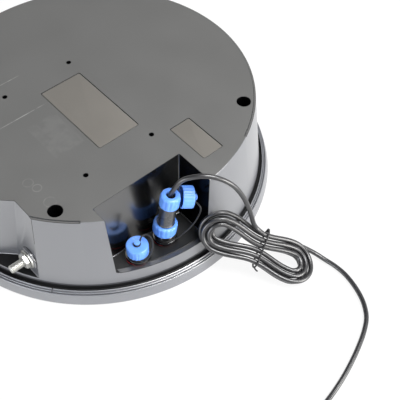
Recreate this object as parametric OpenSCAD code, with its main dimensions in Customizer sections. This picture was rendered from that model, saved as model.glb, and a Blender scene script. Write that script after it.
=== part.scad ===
// Round electric fence energizer, lying face down with its back up.
// Millimetres. +Z is up, away from the table. The origin is on the table, under the middle of the rim.
// +X points to the socket pocket, -Y to the two output terminals.

/* [Housing] */
// Height of the back face above the table
body_h = 76; // [70:1:90]
// Radius of the back face
face_r = 118; // [114:1:121]
// Radius of the side wall where it meets the gutter
foot_r = 124.5; // [122:0.5:130]
// Thickness of the side, pocket and notch walls
wall = 2.6; // [2:0.1:3.4]
// Thickness of the back face
face_t = 3; // [2:0.1:4]
// Width of the step along the edge of the back face
step_w = 1.4; // [1:0.1:3]
// Depth of that step
step_d = 0.7; // [0.6:0.1:2]

/* [Rim] */
// Width of the gutter round the foot of the side wall
gutter_w = 2; // [1:0.1:4]
// Width of the bead outside the gutter
bead_w = 2.2; // [1.6:0.1:4]
// Height of the bead above the gutter
bead_h = 2; // [1:0.1:3]
// Thickness of the housing's flange
flange_t = 2.2; // [1.6:0.1:3]
// Thickness of the rubber seal under the flange
rim_seal_t = 2.4; // [1.6:0.1:3.5]
// Width of the rubber seal
rim_seal_w = 3.6; // [2:0.1:4.4]
// Gap between the bead and the cover's skirt
skirt_gap = 0.3; // [0.2:0.05:0.8]
// Thickness of the skirt at its top edge
skirt_lip = 0.9; // [0.6:0.1:2]
// How far the skirt spreads down to the table
skirt_flare = 2.2; // [0.5:0.1:4]
// Height of the skirt's top edge above the table
skirt_h = 8.8; // [7.6:0.1:9.6]
// Width of the ring that the part stands on
foot_w = 8; // [5:0.5:12]

/* [Front] */
// Depth of the front panel behind the foot ring
recess_d = 2.5; // [2:0.1:4]
// Thickness of the front panel
panel_t = 3; // [2:0.1:4]
// Radius of the printed fascia
fascia_r = 92; // [80:1:100]
// Thickness of the fascia
fascia_t = 1.2; // [0.8:0.1:1.4]
// Radius of the power button
button_r = 8; // [6:0.5:10]
// Distance of the button from the middle
button_y = 38; // [34:1:46]
// Travel of the button
button_travel = 1; // [0.6:0.1:1.5]
// Number of status lenses
lens_count = 5; // [3:1:7]
// Radius of a status lens
lens_r = 2.5; // [1.5:0.1:3]
// Distance between status lenses
lens_step = 16; // [12:1:18]

/* [Housing screws] */
// Distance of the screw wells inside the narrow end of the side wall
well_inset = 8.5; // [7.5:0.5:12]
// Radius of a screw well
well_r = 5; // [4.4:0.1:5.4]
// Angle of the upper wells above the middle
well_angle_up = 43.5; // [40:0.5:60]
// Angle between each terminal and the well beside it
well_angle_down = 11.2; // [9:0.1:13.6]
// Radius of a screw's shank
screw_r = 2; // [1.5:0.1:2.4]
// Radius of a screw's head
screw_head_r = 3.9; // [3.4:0.1:4.2]

/* [Bracket holes] */
// Distance between the holes across
bracket_x = 96.5; // [80:0.5:100]
// Distance between the holes along
bracket_y = 55.5; // [44:0.5:60]
// Radius of a hole
bracket_r = 1.7; // [1.2:0.1:2.2]
// Depth of a hole
bracket_depth = 9; // [6:0.5:12]

/* [Socket pocket] */
// Depth of the pocket from the side wall, beside the battery socket
pocket_depth = 25.68; // [23:0.02:28.4]
// Width of the pocket
pocket_w = 72; // [70:0.5:80]
// Distance of the pocket's upper wall from the middle line
pocket_top = 8.6; // [7:0.2:10]
// Height of the pocket's floor above the table
pocket_z = 24; // [23.6:0.2:26]
// Distance of the sockets from the side wall, beside the battery socket
socket_inset = 8.88; // [8.5:0.02:11.5]
// Distance of the adapter socket from the pocket's upper wall
socket_drop = 28.1; // [27:0.1:30]
// Distance between the two sockets
socket_step = 24; // [20:0.5:26]

/* [Sockets] */
// Radius of a socket's threaded neck
neck_r = 6.4; // [6.2:0.1:6.6]
// Height of the neck above its flange
neck_h = 7.1; // [6.6:0.1:8]
// Radius of the flange
socket_flange_r = 8.6; // [8.2:0.1:9.4]
// Thickness of the flange
socket_flange_t = 2.4; // [1.6:0.1:3]
// Thickness of the seal under the flange
socket_seal_t = 1; // [0.6:0.1:1.4]
// Radius of the bore that takes a plug
bore_r = 5; // [4.8:0.1:5.3]
// Depth of the bore
bore_d = 5; // [4.8:0.1:6]
// Length of the rear thread below the pocket's floor
rear_len = 12; // [9:0.5:12.5]
// Width across the flats of the rear nut
rear_nut_af = 15; // [14.4:0.1:15.4]
// Thickness of the rear nut
rear_nut_t = 4; // [3:0.5:5]
// Radius of a contact pin
pin_r = 0.7; // [0.5:0.1:0.9]

/* [Dust caps] */
// Outer radius of a dust cap
cap_r = 7.8; // [7.5:0.1:8.4]
// Height of a dust cap
cap_h = 8.2; // [7.6:0.1:8.6]
// Thickness of a cap's top
cap_top_t = 1.4; // [1:0.1:1.8]
// Clearance of a cap round the neck
cap_clear = 0.3; // [0.2:0.05:0.4]
// Thickness of the seal inside a cap
cap_seal_t = 1; // [0.6:0.1:1.2]
// Number of grip grooves round a cap
cap_grips = 20; // [12:1:28]
// Radius of the post on a cap
post_r = 1.5; // [1.2:0.1:1.8]
// Height of the post
post_h = 2.6; // [2:0.1:3]
// Radius of the tether strings
tether_r = 0.55; // [0.4:0.05:0.7]

/* [Plug] */
// Lean of the half pushed plug
plug_lean = 8; // [0:0.5:8]
// Radius of the plug's barrel
barrel_r = 5.75; // [5.4:0.05:5.9]
// Length of the barrel above the socket's mouth
barrel_len = 26.4; // [22:0.2:30]
// Radius of the coupling ring
ring_r = 8.4; // [8.2:0.1:9]
// Height of the coupling ring
ring_h = 8.7; // [8:0.1:10]
// Depth that the ring reaches over the neck
ring_over = 1.5; // [0.5:0.1:2]
// Number of grips round the ring
ring_grips = 16; // [10:1:20]
// Radius of the cable clamp nut
clamp_r = 6.85; // [6.6:0.05:7.2]
// Height of the clamp nut
clamp_h = 9.8; // [9:0.1:11]
// Radius of the cord
cord_r = 1.7; // [1.5:0.05:1.8]

/* [Terminals] */
// Distance of each terminal from the middle line
terminal_x = 60; // [58:0.5:61]
// Height of the terminals above the table
terminal_z = 29; // [26:0.5:34]
// Radius of the threaded stud
stud_r = 3; // [2.5:0.1:3.2]
// Length of stud outside its seat
stud_out = 14.2; // [13.4:0.2:16]
// Depth of a terminal notch from the foot of the side wall, at the back face
notch_depth = 27.6; // [26.6:0.1:28.6]
// Height of the notch's floor
notch_z = 16; // [14:0.5:18]
// Thickness of the terminal washer
washer_t = 1.2; // [0.8:0.1:1.6]
// Thickness of a terminal nut
nut_t = 3.2; // [2.8:0.1:4]
// Width of a nut across its flats
nut_af = 10; // [9:0.5:11]

/* [Electronics] */
// Width of the circuit board
board_x = 120; // [116:1:126]
// Length of the circuit board
board_y = 110; // [106:1:116]
// Height of the circuit board above the front panel
board_up = 13.5; // [13:0.1:14.5]
// Radius of a storage capacitor
can_r = 14; // [10:0.5:15]
// Height of a storage capacitor
can_h = 42; // [30:1:44]
// Width of the transformer's core
core_x = 54; // [50:1:56]
// Length of the transformer's core
core_y = 40; // [34:1:44]
// Height of the transformer's core
core_h = 44; // [38:1:45]

/* [Supply cord] */
// Distance between the middles of neighbouring loops in the hank
hank_step = 4.1; // [4:0.05:4.4]
// Outer half width of the hank
hank_half = 15.4; // [15:0.1:15.6]
// How far the loops are drawn in at the waist
hank_waist = 4.4; // [3.6:0.1:4.6]
// Half width of the tie round the hank
tie_w = 1; // [0.6:0.1:1.4]

/* [Mains adapter] */
// Width of the adapter's case
adapter_x = 42; // [36:1:48]
// Length of the adapter's case
adapter_y = 66; // [56:1:76]
// Height of the adapter's case
adapter_h = 30; // [26:1:36]
// Length of the strain relief on the cord
relief_len = 22; // [20:1:26]

/* [Hidden] */
$fn = 96;

// Colours as seen
black = "#2b2c2e";
panel_black = "#1d1e20";
plate_grey = "#8a8780";
blue = "#4f8fe8";
rubber = "#18181a";
seal_red = "#c2242c";
zinc = "#c9ccd0";
brass = "#c9a24a";
board_green = "#1f5a3a";
copper = "#a8622e";
steel = "#9a9ca0";

// Small sizes used in more than one place
eps = 0.01;
fit = 0.08;
seat = 0.3;

// Heights, from the table up
panel_z = recess_d;
panel_top = panel_z + panel_t;
flange_z = panel_top + rim_seal_t;
gutter_z = flange_z + flange_t;
bead_z = gutter_z + bead_h;
board_t = 1.6;
board_z = panel_top + board_up;
board_top = board_z + board_t;

// Radii of the rim, from the side wall out
bead_r = foot_r + gutter_w;
flange_r = bead_r + bead_w;
skirt_in = flange_r + skirt_gap;
rim_r = skirt_in + skirt_lip + skirt_flare;
edge_chamfer = 1;

// Pocket and sockets
pocket_low = pocket_top - pocket_w;
adapter_sy = pocket_top - socket_drop;
battery_sy = adapter_sy - socket_step;
floor_wall_r = foot_r - wall + (face_r - foot_r) * (pocket_z - wall - gutter_z) / (body_h - gutter_z);
side_wall_x = sqrt(pow(floor_wall_r, 2) - pow(battery_sy, 2));
pocket_x = side_wall_x - pocket_depth;
socket_x = side_wall_x - socket_inset;
socket_ys = [adapter_sy, battery_sy];
flange_top = pocket_z + socket_seal_t + socket_flange_t;
mouth_z = flange_top + neck_h;
rear_r = neck_r - 0.2;
pin_h = 2.2;
pin_off = 2.1;

// Tether eyes round the necks and posts
eye_t = 0.9;
eye_w = 1.3;
post_head_r = post_r + 0.7;
post_head_t = 0.8;

// Terminals
notch_y = foot_r - notch_depth;
notch_lean = 5.43;
seat_y = notch_y + (body_h - terminal_z) * tan(notch_lean) + 1.4;
inner_seat_y = seat_y - 6.4;
notch_corner_x = 48.9;
pad_r = 8.5;
stud_spare = 1.4;
stud_in = seat_y - inner_seat_y + 2 * nut_t + stud_spare;

// Screw wells
well_ring = min(face_r, foot_r) - well_inset;
well_low = atan2(seat_y, terminal_x) - well_angle_down;

// Step along the edge of the back face: it starts and ends beside the pocket
step_from = 27;
step_span = 293;

// Where the tether string and the loose cap are
loose_cap_out = 6.1;
loose_cap_along = 15.1;
loose_cap_up = 34.3;
loose_cap_at = [socket_x + loose_cap_out, adapter_sy + loose_cap_along, flange_top + loose_cap_up];
loose_cap_heading = 58.5;
loose_cap_tip = 101.7;

// Plug, in its own frame: heights are counted along its axis from the socket's mouth
lean_heading = 50;
spigot_r = 4.2;
spigot_len = 3.6;
collar_r = barrel_r + 0.85;
web_t = 3;
ring_top = ring_h - ring_over;
thread_r = barrel_r - 0.85;
thread_h = 4.6;
cord_from = barrel_len + thread_h;
clamp_z = barrel_len + 0.2;
clamp_hole_r = 3.1;
grommet_h = 2.6;
chamber_r = 4.4;

// Hank: middle line from its upper end, on the pocket's sill, to its lower end on the table
hank_from = [119.4, -2, 39.4];
hank_to = [183.5, 49, 1.9];
hank_roll = 70;
hank_turns = 5;
hank_out = 0.07;
rings_per_turn = 36;
run_share = 0.1;
hank_sides = 6;
cord_sides = 8;
hank_mid = (hank_from + hank_to) / 2;
hank_len = norm(hank_to - hank_from);
hank_dir = (hank_to - hank_from) / hank_len;
hank_level = unit([-hank_dir.y, hank_dir.x, 0]);
hank_up = cross(hank_dir, hank_level);
run_half = hank_len / 2 - cord_r - hank_half;
tie_at = 3;
tie_t = 1.1;
tie_gap = 0.4;

// Adapter, lying on the table outside the view
adapter_at = [259.5, -62];
relief_z = 9;
relief_tip = [adapter_at.x, adapter_at.y + relief_len, relief_z];

// Route of the cord from the plug to the hank, and from the hank to the adapter
lead_route = [[111, -10.5, 83.5], [116, -4.5, 87.5], [122, 2.8, 88], [128, 10, 84.5],
  [133, 16.5, 77], [137, 21.3, 66], [139.7, 24.5, 54.5], [141.3, 26.4, 45], [142.6, 27.6, 37.5],
  [144.6, 29.3, 32]];
tail_route = [[165, 54.5, 9.5], [173.5, 60.5, 4.6], [182, 63.5, 2.2], [190, 65, 1.9],
  [199, 65.2, 1.9], [208.5, 63.5, 1.9], [218, 60.3, 1.9], [226, 56, 1.9], [233.5, 49.5, 1.9],
  [239.5, 40, 1.9], [244.5, 29, 1.9], [249, 17, 1.9], [253, 4, 1.9], [256, -9, 2.2],
  [258, -20, 4], [259.2, -30, 7]];
lead_wire_r = 1.2;

// Vector and curve helpers
function unit(v) = v / norm(v);
function mix(a, b, t) = a + (b - a) * t;
function ease(t) = let (c = min(max(t, 0), 1)) c * c * (3 - 2 * c);
// A smooth curve through the points, with n steps between neighbours
function smooth(p, n) = let (last = len(p) - 1) concat(
  [for (i = [0 : last - 1], k = [0 : n - 1])
    let (t = k / n, a = p[max(i - 1, 0)], b = p[i], c = p[i + 1], d = p[min(i + 2, last)])
      0.5 * (2 * b + (c - a) * t + (2 * a - 5 * b + 4 * c - d) * t * t
        + (3 * b - a - 3 * c + d) * t * t * t)],
  [p[last]]);
function way(p, i) = unit(p[min(i + 1, len(p) - 1)] - p[max(i - 1, 0)]);
function span(p, i = 0) = i >= len(p) - 1 ? 0 : norm(p[i + 1] - p[i]) + span(p, i + 1);
// Distance from a point to the stretch between two others
function off_line(q, a, b) = let (d = b - a, t = min(max((q - a) * d / (d * d), 0), 1))
  norm(q - a - t * d);

// Hank: loops spiral in on the upper layer and out on the lower one, drawn in at the waist
function hank_frame(u) = let (
    roll = hank_roll * (0.5 - u / hank_len),
    across = cos(roll) * hank_level + sin(roll) * hank_up)
  [across, cross(hank_dir, across)];
function hank_place(u, v, w) = let (f = hank_frame(u))
  hank_mid + u * hank_dir + v * f[0] + w * f[1];
function drawn_in(a, u) = a - hank_waist * (1 + cos(180 * u / run_half)) / 2;
function loop_point(turn, a) = let (
    s = turn - floor(turn), q = run_share, fold = 0.5 - 2 * q, c = run_half)
  s < q ? let (u = c * s / q) [u, drawn_in(a, u)]
  : s < 0.5 - q ? let (b = 180 * (s - q) / fold) [c + a * sin(b), a * cos(b)]
  : s < 0.5 + q ? let (u = c * (0.5 - s) / q) [u, -drawn_in(a, u)]
  : s < 1 - q ? let (b = 180 * (s - 0.5 - q) / fold) [-c - a * sin(b), -a * cos(b)]
  : let (u = c * (s - 1) / q) [u, drawn_in(a, u)];
function hank_at(turn) = let (
    half = hank_turns / 2,
    a = hank_half - hank_step * (half - abs(turn - half)),
    uv = loop_point(turn, a),
    climb = ease((turn - half + 0.2) / 0.4))
  hank_place(uv[0], uv[1], hank_step * (0.5 - climb));
hank_rings = round((hank_turns + hank_out) * rings_per_turn);
hank_path = [for (i = [0 : hank_rings]) hank_at(i * (hank_turns + hank_out) / hank_rings)];
hank_refs = [for (p = hank_path) hank_frame((p - hank_mid) * hank_dir)[1]];
hank_gap = min([for (i = [0 : hank_rings], j = [i + rings_per_turn / 3 : hank_rings - 1])
  off_line(hank_path[i], hank_path[j], hank_path[j + 1])]) - 2 * cord_r;

// Plug frame in the part's own axes
plug_base = [socket_x, adapter_sy, mouth_z];
plug_axis = [sin(plug_lean) * cos(lean_heading), sin(plug_lean) * sin(lean_heading), cos(plug_lean)];
function on_plug(s) = plug_base + s * plug_axis;

lead_path = smooth(concat([on_plug(cord_from), on_plug(cord_from + 3), on_plug(clamp_z + clamp_h + 1)],
  lead_route, [hank_path[0]]), 2);
tail_path = smooth(concat([hank_path[hank_rings]], tail_route,
  [relief_tip + [0, 3, 0], relief_tip]), 2);
echo(hank_least_gap = hank_gap);
echo(cord_length = span(lead_path) + span(hank_path) + span(tail_path));

// A tube swept along a path. up is one direction that no stretch runs along, or one for each point
module tube(path, r, sides, up) {
  n = len(path);
  points = [for (i = [0 : n - 1]) let (
      t = way(path, i),
      x = unit(cross(is_list(up[0]) ? up[i] : up, t)),
      y = cross(t, x))
    for (k = [0 : sides - 1]) path[i] + r * (cos(360 * k / sides) * x + sin(360 * k / sides) * y)];
  walls = [for (i = [0 : n - 2], k = [0 : sides - 1]) let (
      a = i * sides + k, b = i * sides + (k + 1) % sides, c = a + sides, d = b + sides)
    each [[a, c, b], [b, c, d]]];
  first = [for (k = [1 : sides - 2]) [0, k, k + 1]];
  end = (n - 1) * sides;
  last = [for (k = [1 : sides - 2]) [end, end + k + 1, end + k]];
  polyhedron(points, concat(walls, first, last));
}

// A hexagon nut lying on z = 0
module hex_nut(af, t, r) {
  difference() {
    cylinder(h = t, r = af / 2 / cos(30), $fn = 6);
    translate([0, 0, -1]) cylinder(h = t + 2, r = r);
  }
}

// A flat ring lying on z = 0
module flat_ring(r_in, r_out, t) {
  difference() {
    cylinder(h = t, r = r_out);
    translate([0, 0, -1]) cylinder(h = t + 2, r = r_in);
  }
}

// A plate with round corners, lying on z = 0
module round_plate(x, y, t, r) {
  linear_extrude(t) union() {
    square([x - 2 * r, y], center = true);
    square([x, y - 2 * r], center = true);
    for (sx = [-1, 1], sy = [-1, 1]) translate([sx * (x / 2 - r), sy * (y / 2 - r)]) circle(r);
  }
}

// Places that several pieces share
module at_wells() {
  for (a = [well_angle_up, -well_low, 180 - well_angle_up, 180 + well_low])
    rotate(a) translate([well_ring, 0, 0]) children();
}
bracket_mid = [13, -22];
module at_bracket_holes() {
  for (sx = [-1, 1], sy = [-1, 1])
    translate([bracket_mid.x + sx * bracket_x / 2, bracket_mid.y + sy * bracket_y / 2, body_h]) children();
}
module at_sockets() {
  for (y = socket_ys) translate([socket_x, y, 0]) children();
}
board_mid = [-10, 0];
board_hole_inset = 8;
module at_board_holes(z) {
  for (sx = [-1, 1], sy = [-1, 1])
    translate([board_mid.x + sx * (board_x / 2 - board_hole_inset), sy * (board_y / 2 - board_hole_inset), z])
      children();
}
lens_y = 30;
module at_lenses() {
  for (i = [0 : lens_count - 1]) translate([(i - (lens_count - 1) / 2) * lens_step, lens_y, 0]) children();
}
// Terminal frame: z points out of the notch, from the housing's seat
module at_terminal(side) {
  translate([side * terminal_x, -seat_y, terminal_z]) rotate([90, 0, 0]) children();
}
module at_plug() {
  translate(plug_base) rotate([0, 0, lean_heading]) rotate([0, plug_lean, 0]) children();
}

// Housing shape
module housing_outer() {
  rotate_extrude() polygon([[0, gutter_z], [foot_r, gutter_z], [face_r, body_h], [0, body_h]]);
}
module housing_hollow() {
  rotate_extrude() polygon([[0, gutter_z - flange_t - 1], [foot_r - wall, gutter_z - flange_t - 1],
    [foot_r - wall, gutter_z], [face_r - wall, body_h - face_t], [0, body_h - face_t]]);
}
groove_w = 0.5;
groove_d = 0.8;
module housing_flange() {
  ridge = (bead_w - groove_w) / 2;
  rotate_extrude() polygon([[foot_r - wall, flange_z], [flange_r, flange_z], [flange_r, bead_z],
    [flange_r - ridge, bead_z], [flange_r - ridge, bead_z - groove_d], [bead_r + ridge, bead_z - groove_d],
    [bead_r + ridge, bead_z], [bead_r, bead_z], [bead_r, gutter_z], [foot_r - wall, gutter_z]]);
}
// The pocket's room, made larger by grow on its closed sides
module pocket_room(grow) {
  translate([pocket_x - grow, pocket_low - grow, pocket_z - grow])
    cube([foot_r, pocket_w + 2 * grow, body_h]);
}
// A terminal notch's room: a leaning seat wall, a slanting side wall and a floor
module notch_room(side, grow) {
  long = 60;
  mirror([side < 0 ? 1 : 0, 0, 0]) intersection() {
    translate([0, -notch_y + grow, body_h]) rotate([-notch_lean, 0, 0])
      translate([0, -long, -2 * body_h]) cube([2 * long, long, 3 * body_h]);
    translate([notch_corner_x, -notch_y, notch_z - grow]) rotate(-45) translate([-grow, -long, 0])
      cube([2 * long, 2 * long, body_h]);
  }
}
plate_recess = 0.5;
rating_at = [13.5, -11.8];
rating_size = [68.6, 33];
socket_plate_at = [pocket_x - 3.4, pocket_top + 18.2];
socket_plate_size = [34.6, 16.4];
plate_gap = 0.5;
well_floor = 2.5;
well_z = gutter_z - 0.6;

module back_housing() {
  color(black) difference() {
    union() {
      difference() {
        housing_outer();
        housing_hollow();
      }
      housing_flange();
      intersection() {
        housing_outer();
        union() {
          pocket_room(wall);
          for (side = [-1, 1]) notch_room(side, wall);
          at_wells() translate([0, 0, well_z]) cylinder(h = body_h - well_z, r = well_r + 2);
          at_bracket_holes() translate([0, 0, -bracket_depth - 2])
            cylinder(h = bracket_depth + 2, r = bracket_r + 2);
          for (side = [-1, 1]) at_terminal(side) translate([0, 0, inner_seat_y - seat_y])
            cylinder(h = seat_y - inner_seat_y, r = pad_r);
        }
      }
    }
    pocket_room(0);
    for (side = [-1, 1]) difference() {
      notch_room(side, 0);
      at_terminal(side) translate([0, 0, -seat_y / 2]) cylinder(h = seat_y / 2, r = pad_r);
    }
    at_wells() {
      translate([0, 0, well_z + well_floor]) cylinder(h = body_h, r = well_r);
      cylinder(h = body_h, r = screw_r + seat);
    }
    at_bracket_holes() translate([0, 0, -bracket_depth]) cylinder(h = bracket_depth + 1, r = bracket_r);
    at_sockets() translate([0, 0, pocket_z - wall - 1]) cylinder(h = wall + 2, r = neck_r + fit);
    for (side = [-1, 1]) at_terminal(side) translate([0, 0, -20]) cylinder(h = 21, r = stud_r + fit);
    rotate(step_from) rotate_extrude(angle = step_span)
      translate([face_r - step_w, body_h - step_d]) square([step_w + 1, step_d + 1]);
    translate([rating_at.x, rating_at.y, body_h - plate_recess])
      round_plate(rating_size.x + 2 * plate_gap, rating_size.y + 2 * plate_gap, 1, 1.5);
    translate([socket_plate_at.x, socket_plate_at.y, body_h - plate_recess])
      round_plate(socket_plate_size.x + 2 * plate_gap, socket_plate_size.y + 2 * plate_gap, 1, 1.5);
  }
}

// Front cover: a shallow dish with the skirt, screw bosses and board posts
boss_r = 5;
boss_top = well_z - seat;
post_out_r = 4;
board_pilot_r = 1.3;
button_clear = 0.1;
module front_cover() {
  foot_in = rim_r - edge_chamfer - foot_w;
  color(panel_black) difference() {
    union() {
      rotate_extrude() polygon([[0, panel_z], [foot_in - 2, panel_z], [foot_in, 0], [rim_r - edge_chamfer, 0],
        [rim_r, edge_chamfer], [skirt_in + skirt_lip, skirt_h], [skirt_in, skirt_h], [skirt_in, panel_top],
        [0, panel_top]]);
      at_wells() translate([0, 0, panel_top - 1]) cylinder(h = boss_top - panel_top + 1, r = boss_r);
      at_board_holes(panel_top - 1) cylinder(h = board_up + 1, r = post_out_r);
    }
    at_wells() translate([0, 0, panel_top]) cylinder(h = body_h, r = screw_r + fit);
    at_board_holes(board_top - board_screw_len - 1)
      cylinder(h = board_screw_len, r = board_pilot_r + fit);
    translate([0, -button_y, -1]) cylinder(h = panel_top + 2, r = button_r + button_clear);
    at_lenses() translate([0, 0, -1]) cylinder(h = panel_top + 2, r = lens_r + fit);
  }
}

module rim_seal() {
  color(rubber) translate([0, 0, panel_top]) flat_ring(flange_r - 2 - rim_seal_w, flange_r - 2, rim_seal_t);
}

screw_head_t = 2.8;
module housing_screws() {
  head_z = well_z + well_floor;
  color(zinc) at_wells() difference() {
    union() {
      translate([0, 0, panel_top + 0.6]) cylinder(h = head_z - panel_top, r = screw_r);
      translate([0, 0, head_z]) cylinder(h = screw_head_t, r = screw_head_r);
    }
    for (a = [0, 90]) translate([0, 0, head_z + screw_head_t]) rotate(a) cube([4, 0.9, 2.4], center = true);
  }
}

module front_fascia() {
  color(plate_grey) translate([0, 0, panel_z - fascia_t]) difference() {
    cylinder(h = fascia_t, r = fascia_r);
    translate([0, -button_y, -1]) cylinder(h = fascia_t + 2, r = button_r + button_clear);
    at_lenses() translate([0, 0, -1]) cylinder(h = fascia_t + 2, r = lens_r + fit);
  }
}

// Power button: its stem works a small switch under the board
button_low = 0.9;
button_flange_t = 1.2;
switch_t = 3;
switch_gap = 0.2;
module power_button() {
  stem_top = board_z - switch_t - switch_gap - button_travel;
  color(blue) translate([0, -button_y, 0]) {
    translate([0, 0, button_low]) cylinder(h = panel_top + 0.1 - button_low + eps, r = button_r);
    translate([0, 0, panel_top + 0.1]) cylinder(h = button_flange_t, r = button_r + 2);
    translate([0, 0, panel_top + 0.1]) cylinder(h = stem_top - panel_top - 0.1, r = 3);
  }
}
module button_switch() {
  color(rubber) translate([-4, -button_y - 4, board_z - switch_t]) cube([8, 8, switch_t]);
}

module status_lenses() {
  color("white") at_lenses() {
    translate([0, 0, panel_z - fascia_t + 0.2]) cylinder(h = panel_t + fascia_t + 1, r = lens_r);
    translate([0, 0, panel_top]) cylinder(h = 1.2, r = lens_r + 1.2);
  }
}

module rating_plate() {
  color(plate_grey) translate([rating_at.x, rating_at.y, body_h - plate_recess])
    round_plate(rating_size.x, rating_size.y, plate_recess - 0.1, 1);
}
module socket_plate() {
  color(plate_grey) translate([socket_plate_at.x, socket_plate_at.y, body_h - plate_recess])
    round_plate(socket_plate_size.x, socket_plate_size.y, plate_recess - 0.1, 1);
}

module main_board() {
  color(board_green) difference() {
    translate([board_mid.x - board_x / 2, -board_y / 2, board_z]) cube([board_x, board_y, board_t]);
    at_board_holes(board_z - 1) cylinder(h = board_t + 2, r = board_pilot_r + 0.3);
  }
}
board_screw_len = 8;
board_head_r = 2.75;
board_head_t = 2;
module board_screws() {
  color(zinc) at_board_holes(board_top) difference() {
    union() {
      cylinder(h = board_head_t, r = board_head_r);
      translate([0, 0, -board_screw_len]) cylinder(h = board_screw_len + eps, r = board_pilot_r);
    }
    translate([0, 0, board_head_t]) cube([3.4, 0.8, 1.6], center = true);
  }
}

// Storage capacitors stand in a row along the board
can_inset = 22;
module storage_capacitors() {
  color("#3a6fb0") for (i = [-1, 0, 1])
    translate([board_mid.x - board_x / 2 + can_inset, i * (2 * can_r + 3), board_top]) difference() {
      cylinder(h = can_h, r = can_r);
      translate([0, 0, can_h - 0.8]) flat_ring(can_r - 2.2, can_r - 1.2, 2);
    }
}

// Pulse transformer: a shell core round a wound bobbin
core_mid_x = board_mid.x + 22;
limb = 16;
window = 11;
window_h = 26;
module transformer_core() {
  yoke = (core_h - window_h) / 2;
  color(steel) translate([core_mid_x, 0, board_top]) difference() {
    translate([-core_x / 2, -core_y / 2, 0]) cube([core_x, core_y, core_h]);
    for (s = [-1, 1]) translate([s * (limb + window) / 2 - window / 2, -core_y, yoke])
      cube([window, 2 * core_y, core_h - 2 * yoke]);
  }
}
winding_out = 9;
module transformer_winding() {
  yoke = (core_h - window_h) / 2;
  h = core_h - 2 * yoke - 2 * seat;
  color(copper) translate([core_mid_x, 0, board_top + yoke + seat]) difference() {
    round_plate(limb + 2 * window - 2 * seat, core_y + 2 * winding_out, h, 4);
    translate([-limb / 2 - 0.1, -core_y / 2 - 0.1, -1]) cube([limb + 0.2, core_y + 0.2, h + 2]);
  }
}

// Leads inside the housing: rings on the studs, bare ends on the winding and the board
eye_lead_t = 1;
module output_leads() {
  stack = inner_seat_y - nut_t;
  tongue = stud_r + 5.5;
  color("#b03030") for (side = [-1, 1]) {
    ring_y = stack - eye_lead_t / 2;
    end = [side * (terminal_x - tongue), -ring_y, terminal_z];
    begin = [core_mid_x + side * 6, -core_y / 2 - winding_out - 0.1, board_top + core_h / 2];
    translate([side * terminal_x, -stack + eye_lead_t, terminal_z]) rotate([90, 0, 0]) {
      flat_ring(stud_r + fit, stud_r + 2.6, eye_lead_t);
      translate([-side * (tongue + stud_r + 1) / 2, 0, 0])
        round_plate(tongue - stud_r + 1, 4, eye_lead_t, 0.8);
    }
    tube(smooth([begin, begin + [0, -2, 0], begin + [0, -4, 0], begin + [side * lead_in, -lead_reach, 2],
      mix(begin, end, 0.6) + [0, 4, 4], end + [-side * 5, 9, 4], end], 4),
      lead_wire_r, cord_sides, [0, 0, 1]);
  }
}
lead_reach = 18;
lead_in = 6;
module supply_leads() {
  bottom = pocket_z - rear_len;
  edge = board_mid.x + board_x / 2;
  color("#303030") for (y = socket_ys) tube(smooth([[socket_x, y, bottom], [socket_x, y, bottom - 0.8],
    [socket_x, y, bottom - 1.6], [socket_x - 1.6, y, bottom - 3.6], [socket_x - 5, y, bottom - 4.2],
    [socket_x - lead_reach, y, bottom - 3], [edge + lead_reach, y, board_z],
    [edge + lead_in, y, board_top + lead_in],
    [edge - 2, y, board_top + lead_in], [edge - lead_in, y, board_top + 3],
    [edge - lead_in, y, board_top + 1.5], [edge - lead_in, y, board_top]], 4),
    lead_wire_r, cord_sides, [0, 1, 0]);
}

// Output terminals
stud_groove_w = 0.6;
stud_groove_d = 0.4;
stud_free = stud_out - washer_t - nut_t - 0.2 - stud_groove_w;
module stud(side) {
  color(zinc) at_terminal(side) difference() {
    translate([0, 0, -stud_in]) cylinder(h = stud_in + stud_out, r = stud_r);
    translate([0, 0, stud_out - stud_free - stud_groove_w])
      flat_ring(stud_r - stud_groove_d, stud_r + 1, stud_groove_w);
  }
}
module washer(side) {
  color(zinc) at_terminal(side) flat_ring(stud_r + fit, nut_af * 0.72, washer_t);
}
module outer_nut(side) {
  color(zinc) at_terminal(side) translate([0, 0, washer_t]) hex_nut(nut_af, nut_t, stud_r + fit);
}
module inner_nuts(side) {
  seat_in = inner_seat_y - seat_y;
  color(zinc) at_terminal(side) for (z = [seat_in - nut_t, seat_in - 2 * nut_t - eye_lead_t])
    translate([0, 0, z]) hex_nut(nut_af, nut_t, stud_r + fit);
}
module fence_stud() { stud(1); }
module fence_washer() { washer(1); }
module fence_nut() { outer_nut(1); }
module fence_inner_nuts() { inner_nuts(1); }
module earth_stud() { stud(-1); }
module earth_washer() { washer(-1); }
module earth_nut() { outer_nut(-1); }
module earth_inner_nuts() { inner_nuts(-1); }

// Panel sockets in the pocket
module socket(y) {
  color(rubber) translate([socket_x, y, 0]) difference() {
    union() {
      translate([0, 0, pocket_z - rear_len]) cylinder(h = rear_len + socket_seal_t, r = rear_r);
      translate([0, 0, pocket_z + socket_seal_t]) cylinder(h = socket_flange_t, r = socket_flange_r);
      translate([0, 0, flange_top]) cylinder(h = neck_h, r = neck_r);
    }
    translate([0, 0, mouth_z - bore_d]) cylinder(h = bore_d + 1, r = bore_r);
  }
}
module adapter_socket() { socket(adapter_sy); }
module battery_socket() { socket(battery_sy); }
module socket_seals() {
  color(seal_red) at_sockets() translate([0, 0, pocket_z])
    flat_ring(neck_r + fit, socket_flange_r + 0.4, socket_seal_t);
}
module socket_rear_nuts() {
  color(rubber) for (y = socket_ys) translate([socket_x, y, pocket_z - wall - rear_nut_t])
    rotate(atan2(y, socket_x) + 30) hex_nut(rear_nut_af, rear_nut_t, rear_r + fit);
}
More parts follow.
